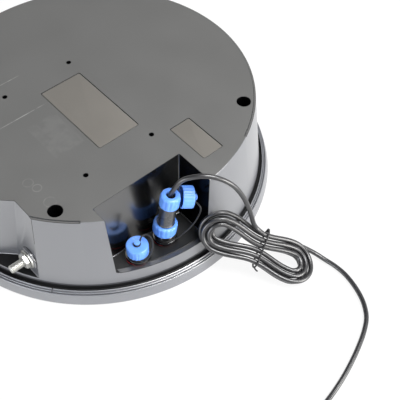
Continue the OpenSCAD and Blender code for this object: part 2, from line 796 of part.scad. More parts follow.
module contact_pins() {
  color(brass) at_sockets() for (s = [-1, 1])
    translate([0, s * pin_off, mouth_z - bore_d]) cylinder(h = pin_h, r = pin_r);
}

// Dust cap with its mouth down on z = 0
grip_r = 0.5;
module cap_shape() {
  round_off = 1;
  difference() {
    union() {
      rotate_extrude() polygon(concat([[0, 0], [cap_r, 0]],
        [for (a = [0 : 15 : 90])
          [cap_r - round_off + round_off * cos(a), cap_h - round_off + round_off * sin(a)]],
        [[0, cap_h]]));
      translate([0, 0, cap_h - eps]) cylinder(h = post_h, r = post_r);
      translate([0, 0, cap_h + post_h - post_head_t]) cylinder(h = post_head_t, r = post_head_r);
    }
    translate([0, 0, -1]) cylinder(h = cap_h - cap_top_t + 1, r = neck_r + cap_clear);
    for (i = [0 : cap_grips - 1]) rotate(i * 360 / cap_grips) translate([cap_r + 0.2, 0, -1])
      cylinder(h = cap_h - round_off + 0.6, r = grip_r, $fn = 24);
  }
}
cap_low = mouth_z + fit + cap_seal_t + cap_top_t - cap_h;
module at_battery_cap() { translate([socket_x, battery_sy, cap_low]) children(); }
module at_loose_cap() {
  translate(loose_cap_at) rotate([0, 0, loose_cap_heading]) rotate([0, loose_cap_tip, 0])
    translate([0, 0, -cap_h / 2]) children();
}
module cap_seal_shape() {
  translate([0, 0, cap_h - cap_top_t - cap_seal_t]) cylinder(h = cap_seal_t, r = neck_r);
}
module battery_cap() { color(blue) at_battery_cap() cap_shape(); }
module battery_cap_seal() { color(rubber) at_battery_cap() cap_seal_shape(); }
module loose_cap() { color(blue) at_loose_cap() cap_shape(); }
module loose_cap_seal() { color(rubber) at_loose_cap() cap_seal_shape(); }

// Tethers: an eye on the socket's flange, a string, and an eye round the cap's post
module neck_eye(y) {
  translate([socket_x, y, flange_top]) flat_ring(neck_r + fit, neck_r + eye_w, eye_t);
}
module post_eye() {
  translate([0, 0, cap_h + 0.3]) flat_ring(post_r + 0.25, post_r + 0.25 + eye_t, eye_t);
}
string_low = flange_top + tether_r + 0.05;
neck_eye_mid = neck_r + eye_w / 2;
post_eye_mid = post_r + 0.25 + eye_t / 2;
module battery_tether() {
  low = [socket_x, battery_sy, string_low];
  high = [socket_x, battery_sy, cap_low + cap_h + 0.3 + eye_t / 2];
  string = [low + [neck_eye_mid * cos(30), -neck_eye_mid * sin(30), 0], low + [cap_r + 1.2, -1.5, 0.3],
    low + [cap_r + 1.6, 3.5, 3.4], low + [cap_r, 7.5, 8.6], high + [4.7, 8.7, 3.8], high + [1.2, 7.1, 5.5],
    high + [-0.4, 4.5, 3.8], high + [0, post_eye_mid + 0.1, 0]];
  color(rubber) {
    neck_eye(battery_sy);
    at_battery_cap() post_eye();
    tube(smooth(string, 3), tether_r, cord_sides, [0.9, 0.2, 0.1]);
  }
}
module loose_tether() {
  low = [socket_x, adapter_sy, string_low];
  axis = [sin(loose_cap_tip) * cos(loose_cap_heading), sin(loose_cap_tip) * sin(loose_cap_heading),
    cos(loose_cap_tip)];
  down = unit([0, 0, -1] + axis.z * axis);
  eye = loose_cap_at + axis * (cap_h / 2 + 0.3 + eye_t / 2);
  string = [low + [neck_eye_mid, 0, 0], low + [cap_r + 1.2, 3.2, 0.6], low + [cap_r + 2.6, 8.5, 3.5],
    low + [cap_r + 4.6, 13, 8.5], eye + [5.4, -1.6, -16.7], eye + [5.2, 1.6, -8.7],
    eye + 4.6 * down + 1.8 * axis, eye + (post_eye_mid + 0.1) * down];
  color(rubber) {
    neck_eye(adapter_sy);
    at_loose_cap() post_eye();
    tube(smooth(string, 3), tether_r, cord_sides, [1, -0.4, 0]);
  }
}

// Plug: barrel with a spigot, a collar that holds the ring, and a thread for the clamp nut
module plug_body() {
  color(rubber) at_plug() difference() {
    union() {
      translate([0, 0, -spigot_len]) cylinder(h = spigot_len + 3, r = spigot_r);
      translate([0, 0, ring_top - web_t - 0.3 - 1.4]) cylinder(h = 1.4, r = collar_r);
      translate([0, 0, 2]) cylinder(h = barrel_len - 2, r = barrel_r);
      translate([0, 0, ring_top + 0.3]) cylinder(h = 1, r = barrel_r + 0.5);
      translate([0, 0, barrel_len - eps]) cylinder(h = thread_h + eps, r = thread_r);
      translate([-barrel_r - 0.7, -0.8, barrel_len - 5.4]) cube([2, 1.6, 2.4]);
    }
    rotate(-lean_heading) for (s = [-1, 1])
      translate([0, s * pin_off, -spigot_len - 1]) cylinder(h = 5, r = 1.6);
  }
}
module coupling_ring() {
  color(blue) at_plug() translate([0, 0, -ring_over]) difference() {
    rotate_extrude() polygon([[0, 0], [ring_r - 0.6, 0], [ring_r, 0.6], [ring_r, ring_h - 1.6],
      [ring_r - 1.2, ring_h], [0, ring_h]]);
    translate([0, 0, -1]) cylinder(h = ring_h + 2, r = barrel_r + fit);
    translate([0, 0, -1]) cylinder(h = ring_h - web_t + 1, r = neck_r + 0.8);
    for (i = [0 : ring_grips - 1]) rotate(i * 360 / ring_grips) translate([ring_r + 0.55, 0, 1])
      cylinder(h = ring_h, r = 1, $fn = 24);
  }
}
module clamp_nut() {
  dome = 2;
  color(blue) at_plug() translate([0, 0, clamp_z]) difference() {
    rotate_extrude() polygon(concat([[0, 0], [clamp_r - 0.4, 0], [clamp_r, 0.4]],
      [for (a = [0 : 15 : 90]) [clamp_r - dome + dome * cos(a), clamp_h - dome + dome * sin(a)]],
      [[0, clamp_h]]));
    translate([0, 0, -1]) cylinder(h = thread_h + 1, r = thread_r + fit);
    translate([0, 0, -1]) cylinder(h = clamp_h - 2.4 + 1, r = chamber_r);
    translate([0, 0, -1]) cylinder(h = clamp_h + 2, r = clamp_hole_r);
    for (i = [0 : 11]) rotate(i * 30) translate([clamp_r + 0.5, 0, 1])
      cylinder(h = clamp_h, r = 0.9, $fn = 24);
  }
}
module cord_grommet() {
  color(rubber) at_plug() translate([0, 0, cord_from]) flat_ring(cord_r + 0.05, chamber_r - 0.1, grommet_h);
}

// Supply cord: a free lead, the tied hank and a free tail
module cord_lead() {
  color(black) tube(lead_path, cord_r, cord_sides, [-0.77, 0.64, 0]);
}
module cord_hank() {
  color(black) tube(hank_path, cord_r, hank_sides, hank_refs);
}
module cord_tail() {
  color(black) tube(tail_path, cord_r, cord_sides, [0, 0, 1]);
}

// Tie: a band round the waist of the hank
module stadium(x, y) {
  square([x - y, y], center = true);
  for (s = [-1, 1]) translate([s * (x - y) / 2, 0]) circle(y / 2);
}
module hank_tie() {
  f = hank_frame(tie_at);
  o = hank_place(tie_at, 0, 0);
  high = hank_half - hank_waist + cord_r + tie_gap;
  low = hank_half - hank_step / 2 - hank_waist + cord_r + tie_gap;
  inner_x = high + low + 2.4;
  inner_y = hank_step + 2 * cord_r + 2 * tie_gap;
  color(rubber) multmatrix([
      [f[0].x, f[1].x, hank_dir.x, o.x],
      [f[0].y, f[1].y, hank_dir.y, o.y],
      [f[0].z, f[1].z, hank_dir.z, o.z],
      [0, 0, 0, 1]])
    translate([(high - low) / 2, 0, -tie_w]) linear_extrude(2 * tie_w) difference() {
      stadium(inner_x + 2 * tie_t, inner_y + 2 * tie_t);
      stadium(inner_x, inner_y);
    }
}

// Mains adapter at the cord's far end, lying on its face with the pins up
split = 0.5;
adapter_round = 6;
module adapter_case() {
  color(panel_black) translate([adapter_at.x, adapter_at.y - adapter_y / 2, 0])
    round_plate(adapter_x, adapter_y, adapter_h * split, adapter_round);
}
pin_step = 18.6;
module adapter_lid() {
  color(panel_black) difference() {
    translate([adapter_at.x, adapter_at.y - adapter_y / 2, adapter_h * split])
      round_plate(adapter_x, adapter_y, adapter_h * (1 - split), adapter_round);
    for (s = [-1, 1])
      translate([adapter_at.x + s * pin_step / 2, adapter_at.y - adapter_y / 2, adapter_h - 6])
        cylinder(h = 7, r = 2);
  }
}
module adapter_pins() {
  color(brass) for (s = [-1, 1])
    translate([adapter_at.x + s * pin_step / 2, adapter_at.y - adapter_y / 2, adapter_h - 6])
      cylinder(h = 6 + 19, r = 2);
}
module adapter_relief() {
  color(rubber) translate([adapter_at.x, adapter_at.y, relief_z]) rotate([-90, 0, 0])
    rotate_extrude() polygon([[0, 0], [4, 0], [4, 3], [3.2, 5], [cord_r + 0.6, relief_len], [0, relief_len]]);
}

back_housing();
front_cover();
rim_seal();
housing_screws();
front_fascia();
power_button();
button_switch();
status_lenses();
rating_plate();
socket_plate();
main_board();
board_screws();
storage_capacitors();
transformer_core();
transformer_winding();
output_leads();
supply_leads();
fence_stud();
fence_washer();
fence_nut();
fence_inner_nuts();
earth_stud();
earth_washer();
earth_nut();
earth_inner_nuts();
adapter_socket();
battery_socket();
socket_seals();
socket_rear_nuts();
contact_pins();
battery_cap();
battery_cap_seal();
battery_tether();
loose_cap();
loose_cap_seal();
loose_tether();
plug_body();
coupling_ring();
clamp_nut();
cord_grommet();
cord_lead();
cord_hank();
cord_tail();
hank_tie();
adapter_case();
adapter_lid();
adapter_pins();
adapter_relief();
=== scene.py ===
# %% [markdown]
# # A round fence energizer, lying on its front
#
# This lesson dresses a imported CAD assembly. The object is a black plastic drum, about 264 mm across, that
# feeds an electric fence. It lies face down, so we look at its back: a pocket with two small blue-capped
# sockets, a notch on each lower side with a threaded stud, and a thin cord tied into a hank. The CAD
# model is loaded first and stays fixed. All new pieces are drawn in millimetres in the same axes.

# %% Load the fixed frame
import math

import bmesh
import bpy
from mathutils import Matrix, Vector
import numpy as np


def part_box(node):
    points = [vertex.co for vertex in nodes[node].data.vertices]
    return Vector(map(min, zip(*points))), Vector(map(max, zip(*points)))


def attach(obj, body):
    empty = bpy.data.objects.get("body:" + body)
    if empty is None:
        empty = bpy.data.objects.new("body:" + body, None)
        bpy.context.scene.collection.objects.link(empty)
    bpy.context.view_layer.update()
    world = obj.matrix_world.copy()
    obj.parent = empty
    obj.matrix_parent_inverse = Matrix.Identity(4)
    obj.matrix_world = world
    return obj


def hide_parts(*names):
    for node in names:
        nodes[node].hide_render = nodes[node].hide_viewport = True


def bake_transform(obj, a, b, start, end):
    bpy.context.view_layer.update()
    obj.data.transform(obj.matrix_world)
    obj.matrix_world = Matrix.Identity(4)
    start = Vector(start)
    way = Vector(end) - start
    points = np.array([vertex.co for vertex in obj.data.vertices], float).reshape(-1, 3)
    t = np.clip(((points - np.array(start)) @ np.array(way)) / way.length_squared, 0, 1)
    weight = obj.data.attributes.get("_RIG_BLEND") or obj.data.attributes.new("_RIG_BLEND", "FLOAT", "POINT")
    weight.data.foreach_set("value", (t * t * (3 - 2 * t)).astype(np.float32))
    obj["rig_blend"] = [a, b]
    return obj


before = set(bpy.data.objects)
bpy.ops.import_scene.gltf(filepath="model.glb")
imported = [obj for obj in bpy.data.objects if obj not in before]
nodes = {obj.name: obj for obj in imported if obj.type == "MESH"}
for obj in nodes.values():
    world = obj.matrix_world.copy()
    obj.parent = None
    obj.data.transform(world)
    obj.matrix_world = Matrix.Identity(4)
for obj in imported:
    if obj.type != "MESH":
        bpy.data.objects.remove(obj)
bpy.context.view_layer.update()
MM = 0.001

# %% [markdown]
# ## The camera
#
# The picture was taken from above the lower right side, some 0.65 m away, with a short telephoto lens. A
# camera can be aimed with a constraint, or by writing its matrix. The matrix is used here because it also
# takes the small roll of the hand-held picture: first aim, then turn about the line of sight.

# %% Camera
look_from = Vector((0.3666, -0.22377, 0.48163))
look_at = Vector((0.0810, 0.0334, 0.0))
roll = math.radians(0.71)
aim = (look_at - look_from).to_track_quat("-Z", "Y").to_matrix().to_4x4()
lens = bpy.data.cameras.new("picture_camera")
lens.lens = 72.97
lens.sensor_width = 36
lens.clip_start = 0.01
camera = bpy.data.objects.new("picture_camera", lens)
camera.matrix_world = Matrix.Translation(look_from) @ aim @ Matrix.Rotation(roll, 4, "Z")
bpy.context.scene.collection.objects.link(camera)
bpy.context.scene.camera = camera
bpy.context.scene.view_settings.view_transform = "Standard"
print("camera", round((look_at - look_from).length, 3), "m from its aim")

# %% [markdown]
# ## Colours and nodes
#
# Every finish below is a small node tree. Colours are written as the sRGB codes that a paint program
# shows, and one function turns them into the linear values that the shader needs. A second function adds
# any node: its settings by name, and its sockets either joined to another socket or given a number.

# %% Colour and node helpers
def linear(code):
    """An sRGB code such as #4f8fe8 as linear red, green, blue and alpha."""
    parts = [int(code[i:i + 2], 16) / 255 for i in (1, 3, 5)]
    return [c / 12.92 if c < 0.04045 else ((c + 0.055) / 1.055) ** 2.4 for c in parts] + [1.0]


def add(tree, kind, sockets=None, **settings):
    """One node with its settings. A socket takes a link or a value."""
    node = tree.nodes.new(kind)
    for name, value in settings.items():
        setattr(node, name, value)
    for name, value in (sockets or {}).items():
        if isinstance(value, bpy.types.NodeSocket):
            tree.links.new(value, node.inputs[name])
        else:
            node.inputs[name].default_value = value
    return node


print("node helpers ready")

# %% [markdown]
# ## What most finishes share
#
# Plastic, rubber and plated metal are never one flat colour. Handling and moulding leave soft patches
# that are a little lighter and duller, and the surface has a fine grain. So a finish is given by two
# tones, the size of the patches, a range of gloss, and the size and depth of its grain, all sizes in
# millimetres.

# %% A finish from its numbers
def start(name, roughness, ior=1.5, metallic=0.0, coat=0.0):
    """A new material: its tree, its shader and the place on the piece. coat is the share of a clear skin."""
    material = bpy.data.materials.new(name)
    material.use_nodes = True
    tree = material.node_tree
    shader = tree.nodes["Principled BSDF"]
    shader.inputs["Roughness"].default_value = roughness
    shader.inputs["Metallic"].default_value = metallic
    if not metallic:
        shader.inputs["IOR"].default_value = ior
    if coat:
        shader.inputs["Coat Weight"].default_value = coat
        shader.inputs["Coat IOR"].default_value = 1.8
        shader.inputs["Coat Roughness"].default_value = roughness
    where = add(tree, "ShaderNodeTexCoord").outputs["Object"]
    return material, tree, shader, where


def clouded(tree, shader, where, light, dark, size, gloss):
    """Colour and gloss that drift in soft patches of a size in mm. Gives the colour."""
    patches = add(tree, "ShaderNodeTexNoise", {"Vector": where, "Scale": 1 / (size * MM), "Detail": 3.0})
    share = patches.outputs["Fac"]
    tone = add(tree, "ShaderNodeMix", {"Factor": share, 6: linear(dark), 7: linear(light)}, data_type="RGBA")
    tree.links.new(tone.outputs[2], shader.inputs["Base Color"])
    sheen = add(tree, "ShaderNodeMapRange", {"Value": share, "From Min": 0.3, "From Max": 0.7,
                                             "To Min": gloss[0], "To Max": gloss[1]})
    tree.links.new(sheen.outputs["Result"], shader.inputs["Roughness"])
    return tone.outputs[2]


def grained(tree, shader, where, size, depth):
    """A fine bump with grains of a size and depth in mm."""
    specks = add(tree, "ShaderNodeTexNoise", {"Vector": where, "Scale": 1 / (size * MM)})
    relief = add(tree, "ShaderNodeBump", {"Height": specks.outputs["Fac"], "Strength": 1.0,
                                          "Distance": depth * MM})
    tree.links.new(relief.outputs["Normal"], shader.inputs["Normal"])


def finish(name, roughness, ior, tones, patch, gloss, grain=None, **more):
    """A whole finish: two tones in patches of a size, gloss from and to, and grain as (size, depth)."""
    made, tree, shader, where = start(name, roughness, ior, **more)
    clouded(tree, shader, where, *tones, patch, gloss)
    if grain:
        grained(tree, shader, where, *grain)
    print("finish", name)
    return made


print("finish helpers ready")

# %% [markdown]
# ## Cord: finish
#
# The cord is flexible PVC, extruded, so it is smooth and slightly waxy with dull patches from handling.
# PVC has an IOR near 1.53, and a share of clear skin gives the wax. A fine lengthways bump would be
# hidden at this size, so one even grain does.

# %% PVC for the cord
pvc_cord = finish("extruded_pvc", 0.36, 1.53, ("#131317", "#0e0e12"), 9, (0.32, 0.4), (0.9, 0.004), coat=0.6)

# %% [markdown]
# ## Cord: route
#
# A thin 1.2 m lead leaves the plug, rises a little, drops into a hank of five loops, and runs on over the
# table to a mains adapter that lies outside the picture. Free cords are best drawn as one line with a
# round section. The line repeats the route of the CAD solids: a smooth curve through points for the free
# ends, and loops that spiral in on one layer and out on the other for the hank, drawn in where the tie
# grips it.

# %% Free ends of the cord
def through(points, steps):
    """A smooth curve through points, with steps between neighbours."""
    points = [Vector(p) for p in points]
    line = []
    for i in range(len(points) - 1):
        a, b, c, d = (points[min(max(k, 0), len(points) - 1)] for k in range(i - 1, i + 3))
        for k in range(steps):
            t = k / steps
            line.append(0.5 * (2 * b + (c - a) * t + (2 * a - 5 * b + 4 * c - d) * t ** 2
                               + (3 * b - a - 3 * c + d) * t ** 3))
    return line + [points[-1]]


plug_base = Vector((103.8, -19.5, 34.5))
plug_place = (Matrix.Translation(plug_base) @ Matrix.Rotation(math.radians(50), 4, "Z")
              @ Matrix.Rotation(math.radians(8), 4, "Y"))
cord_r = 1.7
lead_route = [(111, -10.5, 83.5), (116, -4.5, 87.5), (122, 2.8, 88), (128, 10, 84.5), (133, 16.5, 77),
              (137, 21.3, 66), (139.7, 24.5, 54.5), (141.3, 26.4, 45), (142.6, 27.6, 37.5), (144.6, 29.3, 32)]
tail_route = [(165, 54.5, 9.5), (173.5, 60.5, 4.6), (182, 63.5, 2.2), (190, 65, 1.9), (199, 65.2, 1.9),
              (208.5, 63.5, 1.9), (218, 60.3, 1.9), (226, 56, 1.9), (233.5, 49.5, 1.9), (239.5, 40, 1.9),
              (244.5, 29, 1.9), (249, 17, 1.9), (253, 4, 1.9), (256, -9, 2.2), (258, -20, 4), (259.2, -30, 7),
              (259.5, -37, 9), (259.5, -40, 9), (259.5, -52, 9), (259.5, -66, 9), (259.5, -80, 9),
              (259.5, -95, 9)]
print("lead", len(lead_route), "points, tail", len(tail_route), "points")

# %% Shape of the hank
hank_from = Vector((119.4, -2, 39.4))
hank_to = Vector((183.5, 49, 1.9))
hank_way = (hank_to - hank_from).normalized()
hank_level = Vector((-hank_way.y, hank_way.x, 0)).normalized()
hank_mid = (hank_from + hank_to) / 2
hank_len = (hank_to - hank_from).length
hank_half, hank_step, hank_waist, hank_turns = 15.4, 4.1, 4.4, 5
run_half = hank_len / 2 - cord_r - hank_half


def hank_frame(u):
    """The two directions across the hank at a place along it: it rolls as it comes down to the table."""
    twist = math.radians(70 * (0.5 - u / hank_len))
    across = math.cos(twist) * hank_level + math.sin(twist) * hank_way.cross(hank_level)
    return across, hank_way.cross(across)


def hank_place(u, v, w):
    """A point along, across and above the hank's middle line."""
    across, above = hank_frame(u)
    return hank_mid + u * hank_way + v * across + w * above


print("hank", round(hank_len, 1), "mm long")

# %% Loops of the hank
def loop_point(turn, a):
    """A place on one long loop of half width a. A turn is a run, a fold, a run and a fold."""
    s = turn % 1
    side = 1 if s < 0.4 or s >= 0.9 else -1
    part = (s + 0.1) % 0.5 - 0.1
    if part < 0.1:
        u = run_half * part / 0.1
        return side * u, side * (a - hank_waist * (1 + math.cos(math.pi * u / run_half)) / 2)
    bend = math.pi * (part - 0.1) / 0.3
    return side * (run_half + a * math.sin(bend)), side * a * math.cos(bend)


def hank_at(turn):
    """A place on the wound cord, counted in turns: in on the upper layer, out on the lower one."""
    half = hank_turns / 2
    u, v = loop_point(turn, hank_half - hank_step * (half - abs(turn - half)))
    climb = min(max((turn - half + 0.2) / 0.4, 0), 1)
    return hank_place(u, v, hank_step * (0.5 - climb * climb * (3 - 2 * climb)))


wound_turns = 5.07
hank_points = round(wound_turns * 90)
hank_path = [hank_at(i * wound_turns / hank_points) for i in range(hank_points + 1)]
plug_exit = [plug_place @ Vector((0, 0, s)) for s in (31, 34, 37.4)]
cord_path = (through(plug_exit + lead_route + [hank_path[0]], 5)[:-1] + hank_path
             + through([hank_path[-1]] + tail_route, 5)[1:])

# %% [markdown]
# ## Cord: mesh
#
# A curve with a round bevel gives an even tube. It is turned into a mesh, because the first few
# centimetres have to give when the plug is pulled out, and only a mesh can be blended between two bodies.

# %% Tubes
def tube(name, line, radius, material, sides=3, closed=False):
    """A round tube along a line in mm, as a mesh object at the origin."""
    curve = bpy.data.curves.new(name, "CURVE")
    curve.dimensions = "3D"
    curve.bevel_depth = radius * MM
    curve.bevel_resolution = sides
    curve.use_fill_caps = not closed
    spline = curve.splines.new("POLY")
    spline.points.add(len(line) - 1)
    spline.use_cyclic_u = closed
    for point, place in zip(spline.points, line):
        point.co = (*(place * MM), 1)
    drawn = bpy.data.objects.new(name + "_line", curve)
    bpy.context.scene.collection.objects.link(drawn)
    mesh = bpy.data.meshes.new_from_object(drawn.evaluated_get(bpy.context.evaluated_depsgraph_get()))
    bpy.data.objects.remove(drawn)
    bpy.data.curves.remove(curve)
    mesh.name = name
    mesh.materials.clear()
    mesh.materials.append(material)
    mesh.shade_smooth()
    mesh.set_sharp_from_angle(angle=math.radians(50))
    piece = bpy.data.objects.new(name, mesh)
    bpy.context.scene.collection.objects.link(piece)
    return piece


cord = tube("supply_cord", cord_path, cord_r, pvc_cord, sides=4)
give = Vector((0.107, -0.0157, 0.0716))
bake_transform(cord, "plug", "base", start=give, end=give + Vector((0.016, 0.020, -0.014)))
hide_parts("cord_lead", "cord_hank", "cord_tail")
print("cord tube", len(cord.data.polygons), "faces")

# %% [markdown]
# ## Solids
#
# Moulded and turned pieces share a few steps. An outline is drawn beside the Z axis and spun into a
# solid. A box or a rod is taken out of it with a Boolean, as a tool would cut it. The finished mesh is
# scaled from millimetres to metres and set in place, while its object stays at the origin.

# %% Outlines and turning
def rounded(corners, steps=4):
    """An outline with soft corners. A corner is (r, z), or (r, z, where on each side the rounding starts)."""
    line = []
    for i, (r, z, *soft) in enumerate(corners):
        here = Vector((r, z))
        if not soft:
            line.append(here)
            continue
        before = here + (Vector(corners[i - 1][:2]) - here).normalized() * soft[0]
        after = here + (Vector(corners[(i + 1) % len(corners)][:2]) - here).normalized() * soft[0]
        for k in range(steps + 1):
            t = k / steps
            line.append(before * (1 - t) ** 2 + here * 2 * t * (1 - t) + after * t ** 2)
    return line


def turned(corners, steps=96, ring=False, angle=math.tau):
    """A solid spun round Z from an outline that ends on the axis, or from a closed ring outline."""
    bm = bmesh.new()
    line = [bm.verts.new((r, 0, z)) for r, z in rounded(corners)]
    for a, b in zip(line, line[1:] + line[:1] if ring else line[1:]):
        bm.edges.new((a, b))
    bmesh.ops.spin(bm, geom=bm.verts[:] + bm.edges[:], cent=(0, 0, 0), axis=(0, 0, 1), angle=angle,
                   steps=steps, use_merge=angle == math.tau)
    bmesh.ops.remove_doubles(bm, verts=bm.verts, dist=1e-4)
    if angle < math.tau:
        bmesh.ops.holes_fill(bm, edges=[e for e in bm.edges if e.is_boundary])
    bmesh.ops.recalc_face_normals(bm, faces=bm.faces)
    return bm


print("turning ready")

# %% Boxes and rods
def bevelled(bm, edges, width, segments=4):
    """Rounds some edges of a bmesh."""
    bmesh.ops.bevel(bm, geom=edges, offset=width, segments=segments, profile=0.5, affect="EDGES", material=-1)
    return bm


def block(low, high, soft=0.0):
    """A box between two corners, with its edges rounded."""
    bm = bmesh.new()
    bmesh.ops.create_cube(bm, size=1)
    size = Vector(high) - Vector(low)
    bmesh.ops.scale(bm, vec=size, verts=bm.verts)
    bmesh.ops.translate(bm, vec=(Vector(low) + Vector(high)) / 2, verts=bm.verts)
    return bevelled(bm, bm.edges[:], soft) if soft else bm


def rods(places, r, low, high, sides=48):
    """Upright rods of one radius at several (x, y) places."""
    bm = bmesh.new()
    for x, y in places:
        bmesh.ops.create_cone(bm, cap_ends=True, segments=sides, radius1=r, radius2=r, depth=high - low,
                              matrix=Matrix.Translation((x, y, (low + high) / 2)))
    return bm


print("boxes and rods ready")

# %% Objects, cuts and soft edges
def solid(name, bm, material, place=Matrix.Identity(4)):
    """An object at the origin from a bmesh in mm."""
    bmesh.ops.transform(bm, matrix=Matrix.Scale(MM, 4) @ place, verts=bm.verts)
    if place.determinant() < 0:
        bmesh.ops.reverse_faces(bm, faces=bm.faces)
    mesh = bpy.data.meshes.new(name)
    bm.to_mesh(mesh)
    bm.free()
    mesh.materials.append(material)
    piece = bpy.data.objects.new(name, mesh)
    bpy.context.scene.collection.objects.link(piece)
    return piece


def carve(piece, tool, how="DIFFERENCE"):
    """Cuts a tool out of a piece, or joins or keeps what they share. The tool's finish stays on its cut."""
    cut = piece.modifiers.new("cut", "BOOLEAN")
    cut.operation = how
    cut.solver = "EXACT"
    cut.material_mode = "TRANSFER"
    cut.object = tool
    mesh = bpy.data.meshes.new_from_object(piece.evaluated_get(bpy.context.evaluated_depsgraph_get()))
    piece.modifiers.clear()
    piece.data = mesh
    bpy.data.objects.remove(tool)
    return piece


def edged(piece, width, angle=35, slot=-1):
    """A small live rounding on every sharp edge. slot is the material slot of the rounding."""
    soft = piece.modifiers.new("soft_edges", "BEVEL")
    soft.width = width * MM
    soft.segments = 2
    soft.material = slot
    soft.limit_method = "ANGLE"
    soft.angle_limit = math.radians(angle)
    soft.use_clamp_overlap = False
    soft.harden_normals = True
    return piece


def settle(piece, body, slot, *stands_for, sharp=35):
    """Smooth shading, the body that carries the piece, its slot (not used), and the CAD nodes that it stands
    for.
    """
    piece.data.shade_smooth()
    piece.data.set_sharp_from_angle(angle=math.radians(sharp))
    if "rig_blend" not in piece:
        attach(piece, body)
    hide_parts(*stands_for)
    print(piece.name, len(piece.data.polygons), "faces on", body)
    return piece


print("solid helpers ready")

# %% [markdown]
# ## Black plastic
#
# The whole case is black ABS, and how each face was moulded decides what the eye sees. The walls and the
# cover were drawn smooth along the mould, so they mirror the white room. ABS has an IOR of 1.54; a higher
# one and a clear skin are matched here, because most of their grey is that mirrored white. The faint blue
# in the wall tones is a painted reflection of the cool light, and the cover's lighter copy of the finish
# paints its shine and the highlight lines on the ribs. The pocket and the wells came from polished steel
# cores; their near-black colour is partly that gloss and partly painted shade. The pocket's far wall, its
# sill, the gutter, the foot of the wall and all the small edges get less of the room, so darker copies of
# the finish paint their shade. Grain of 0.3 mm would be too fine to show, so it is drawn at 0.8 mm, and at
# 2.5 mm where polishing left only a slow ripple.

# %% ABS finishes
# The faint blue in these wall tones is a painted reflection of the cool light that the walls mirror.
satin_abs = finish("satin_abs", 0.34, 2.1, ("#4f5157", "#4a4c52"), 40, (0.33, 0.36), (0.8, 0.006), coat=1.0)
# A lighter copy of the black ABS: painted shine on the cover's skirt and painted highlight lines on the
# housing's ribs.
cover_sheen_abs = finish("satin_abs_cover_sheen", 0.36, 2.1, ("#5a5c62", "#54565c"), 24, (0.34, 0.38), (0.8, 0.006),
                   coat=1.0)
# A darker copy of the satin finish: painted shade on the pocket's sill and at the foot of the wall.
sill_and_foot_shade_abs = finish("satin_abs_sill_and_foot_shade", 0.36, 1.6, ("#303136", "#2a2b2f"), 12, (0.34, 0.4), (0.8, 0.006),
                  coat=0.3)
shaded_abs = finish("shaded_abs", 0.46, 1.42, ("#0f1012", "#0a0b0c"), 10, (0.42, 0.52), (0.8, 0.01))
# Near black: partly the gloss of a polished core, partly painted shade in the pocket, the wells and the
# holes.
polished_shade_abs = finish("polished_shade_abs", 0.18, 1.75, ("#060708", "#040405"), 12, (0.15, 0.22), (2.5, 0.006),
                      coat=0.8)
# The darkest copy: painted shade on the pocket's far wall.
far_wall_shade_abs = finish("polished_abs_far_wall_shade", 0.16, 1.3, ("#060607", "#030304"), 12, (0.14, 0.2), (2.5, 0.006))
far_wall_shade_abs.node_tree.nodes["Principled BSDF"].inputs["Specular IOR Level"].default_value = 0.12

# %% [markdown]
# ## The flat back and its marks
#
# The flat back is ABS from a mould face with a spark-eroded texture: matt, with a broad soft shine and an
# IOR of 1.54. It shows how it was made: two pale lines where mould inserts meet, rings left by ejector
# pins, and an area that was rubbed. They could be cut as grooves, but they are too shallow to throw a
# shadow. So each mark is a mask worked out from the place on the piece, and all the masks together
# lighten the colour.

# %% Textured ABS
back_z = 76
textured_abs, tree, shader, where = start("textured_abs", 0.55, 1.54)
plain_tone = clouded(tree, shader, where, "#5e5e5d", "#575756", 28, (0.5, 0.6))
grained(tree, shader, where, 0.8, 0.02)
print("finish", textured_abs.name)

# %% Lines, a rubbed area and rings
# Middle and half sizes of each, softness of its border, and strength.
areas = ((-10.9, -52, 0.45, 21, 0.7, 0.5), (-47.4, -40, 0.4, 11, 0.7, 0.45),
         (18.5, -44, 18.5, 12.5, 0.1, 0.045))
masks = []
for x, y, half_x, half_y, soft, strength in areas:
    local = add(tree, "ShaderNodeMapping", {"Vector": where, "Location": (x * MM, y * MM, 0),
                                            "Scale": (half_x * MM, half_y * MM, 1)}, vector_type="TEXTURE")
    axes = add(tree, "ShaderNodeSeparateXYZ", {0: local.outputs[0]})
    far = [add(tree, "ShaderNodeMath", {0: axes.outputs[k]}, operation="ABSOLUTE").outputs[0] for k in (0, 1)]
    reach = add(tree, "ShaderNodeMath", {0: far[0], 1: far[1]}, operation="MAXIMUM")
    mask = add(tree, "ShaderNodeMapRange", {"Value": reach.outputs[0], "From Min": 1 - soft, "From Max": 1.0,
                                            "To Min": strength, "To Max": 0.0})
    masks.append(mask.outputs["Result"])
# Middle and radius of each ring. A ring is 1 mm wide.
for x, y, r in ((42, -82, 3.4), (49.4, -80, 3), (64.4, -80.3, 4)):
    middle = (x * MM, y * MM, back_z * MM)
    away = add(tree, "ShaderNodeVectorMath", {0: where, 1: middle}, operation="DISTANCE")
    off = add(tree, "ShaderNodeMath", {0: away.outputs["Value"], 1: r * MM}, operation="SUBTRACT")
    off = add(tree, "ShaderNodeMath", {0: off.outputs[0]}, operation="ABSOLUTE")
    mask = add(tree, "ShaderNodeMapRange", {"Value": off.outputs[0], "From Max": 0.5 * MM, "To Min": 0.2,
                                            "To Max": 0.0})
    masks.append(mask.outputs["Result"])
print(len(masks), "marks")

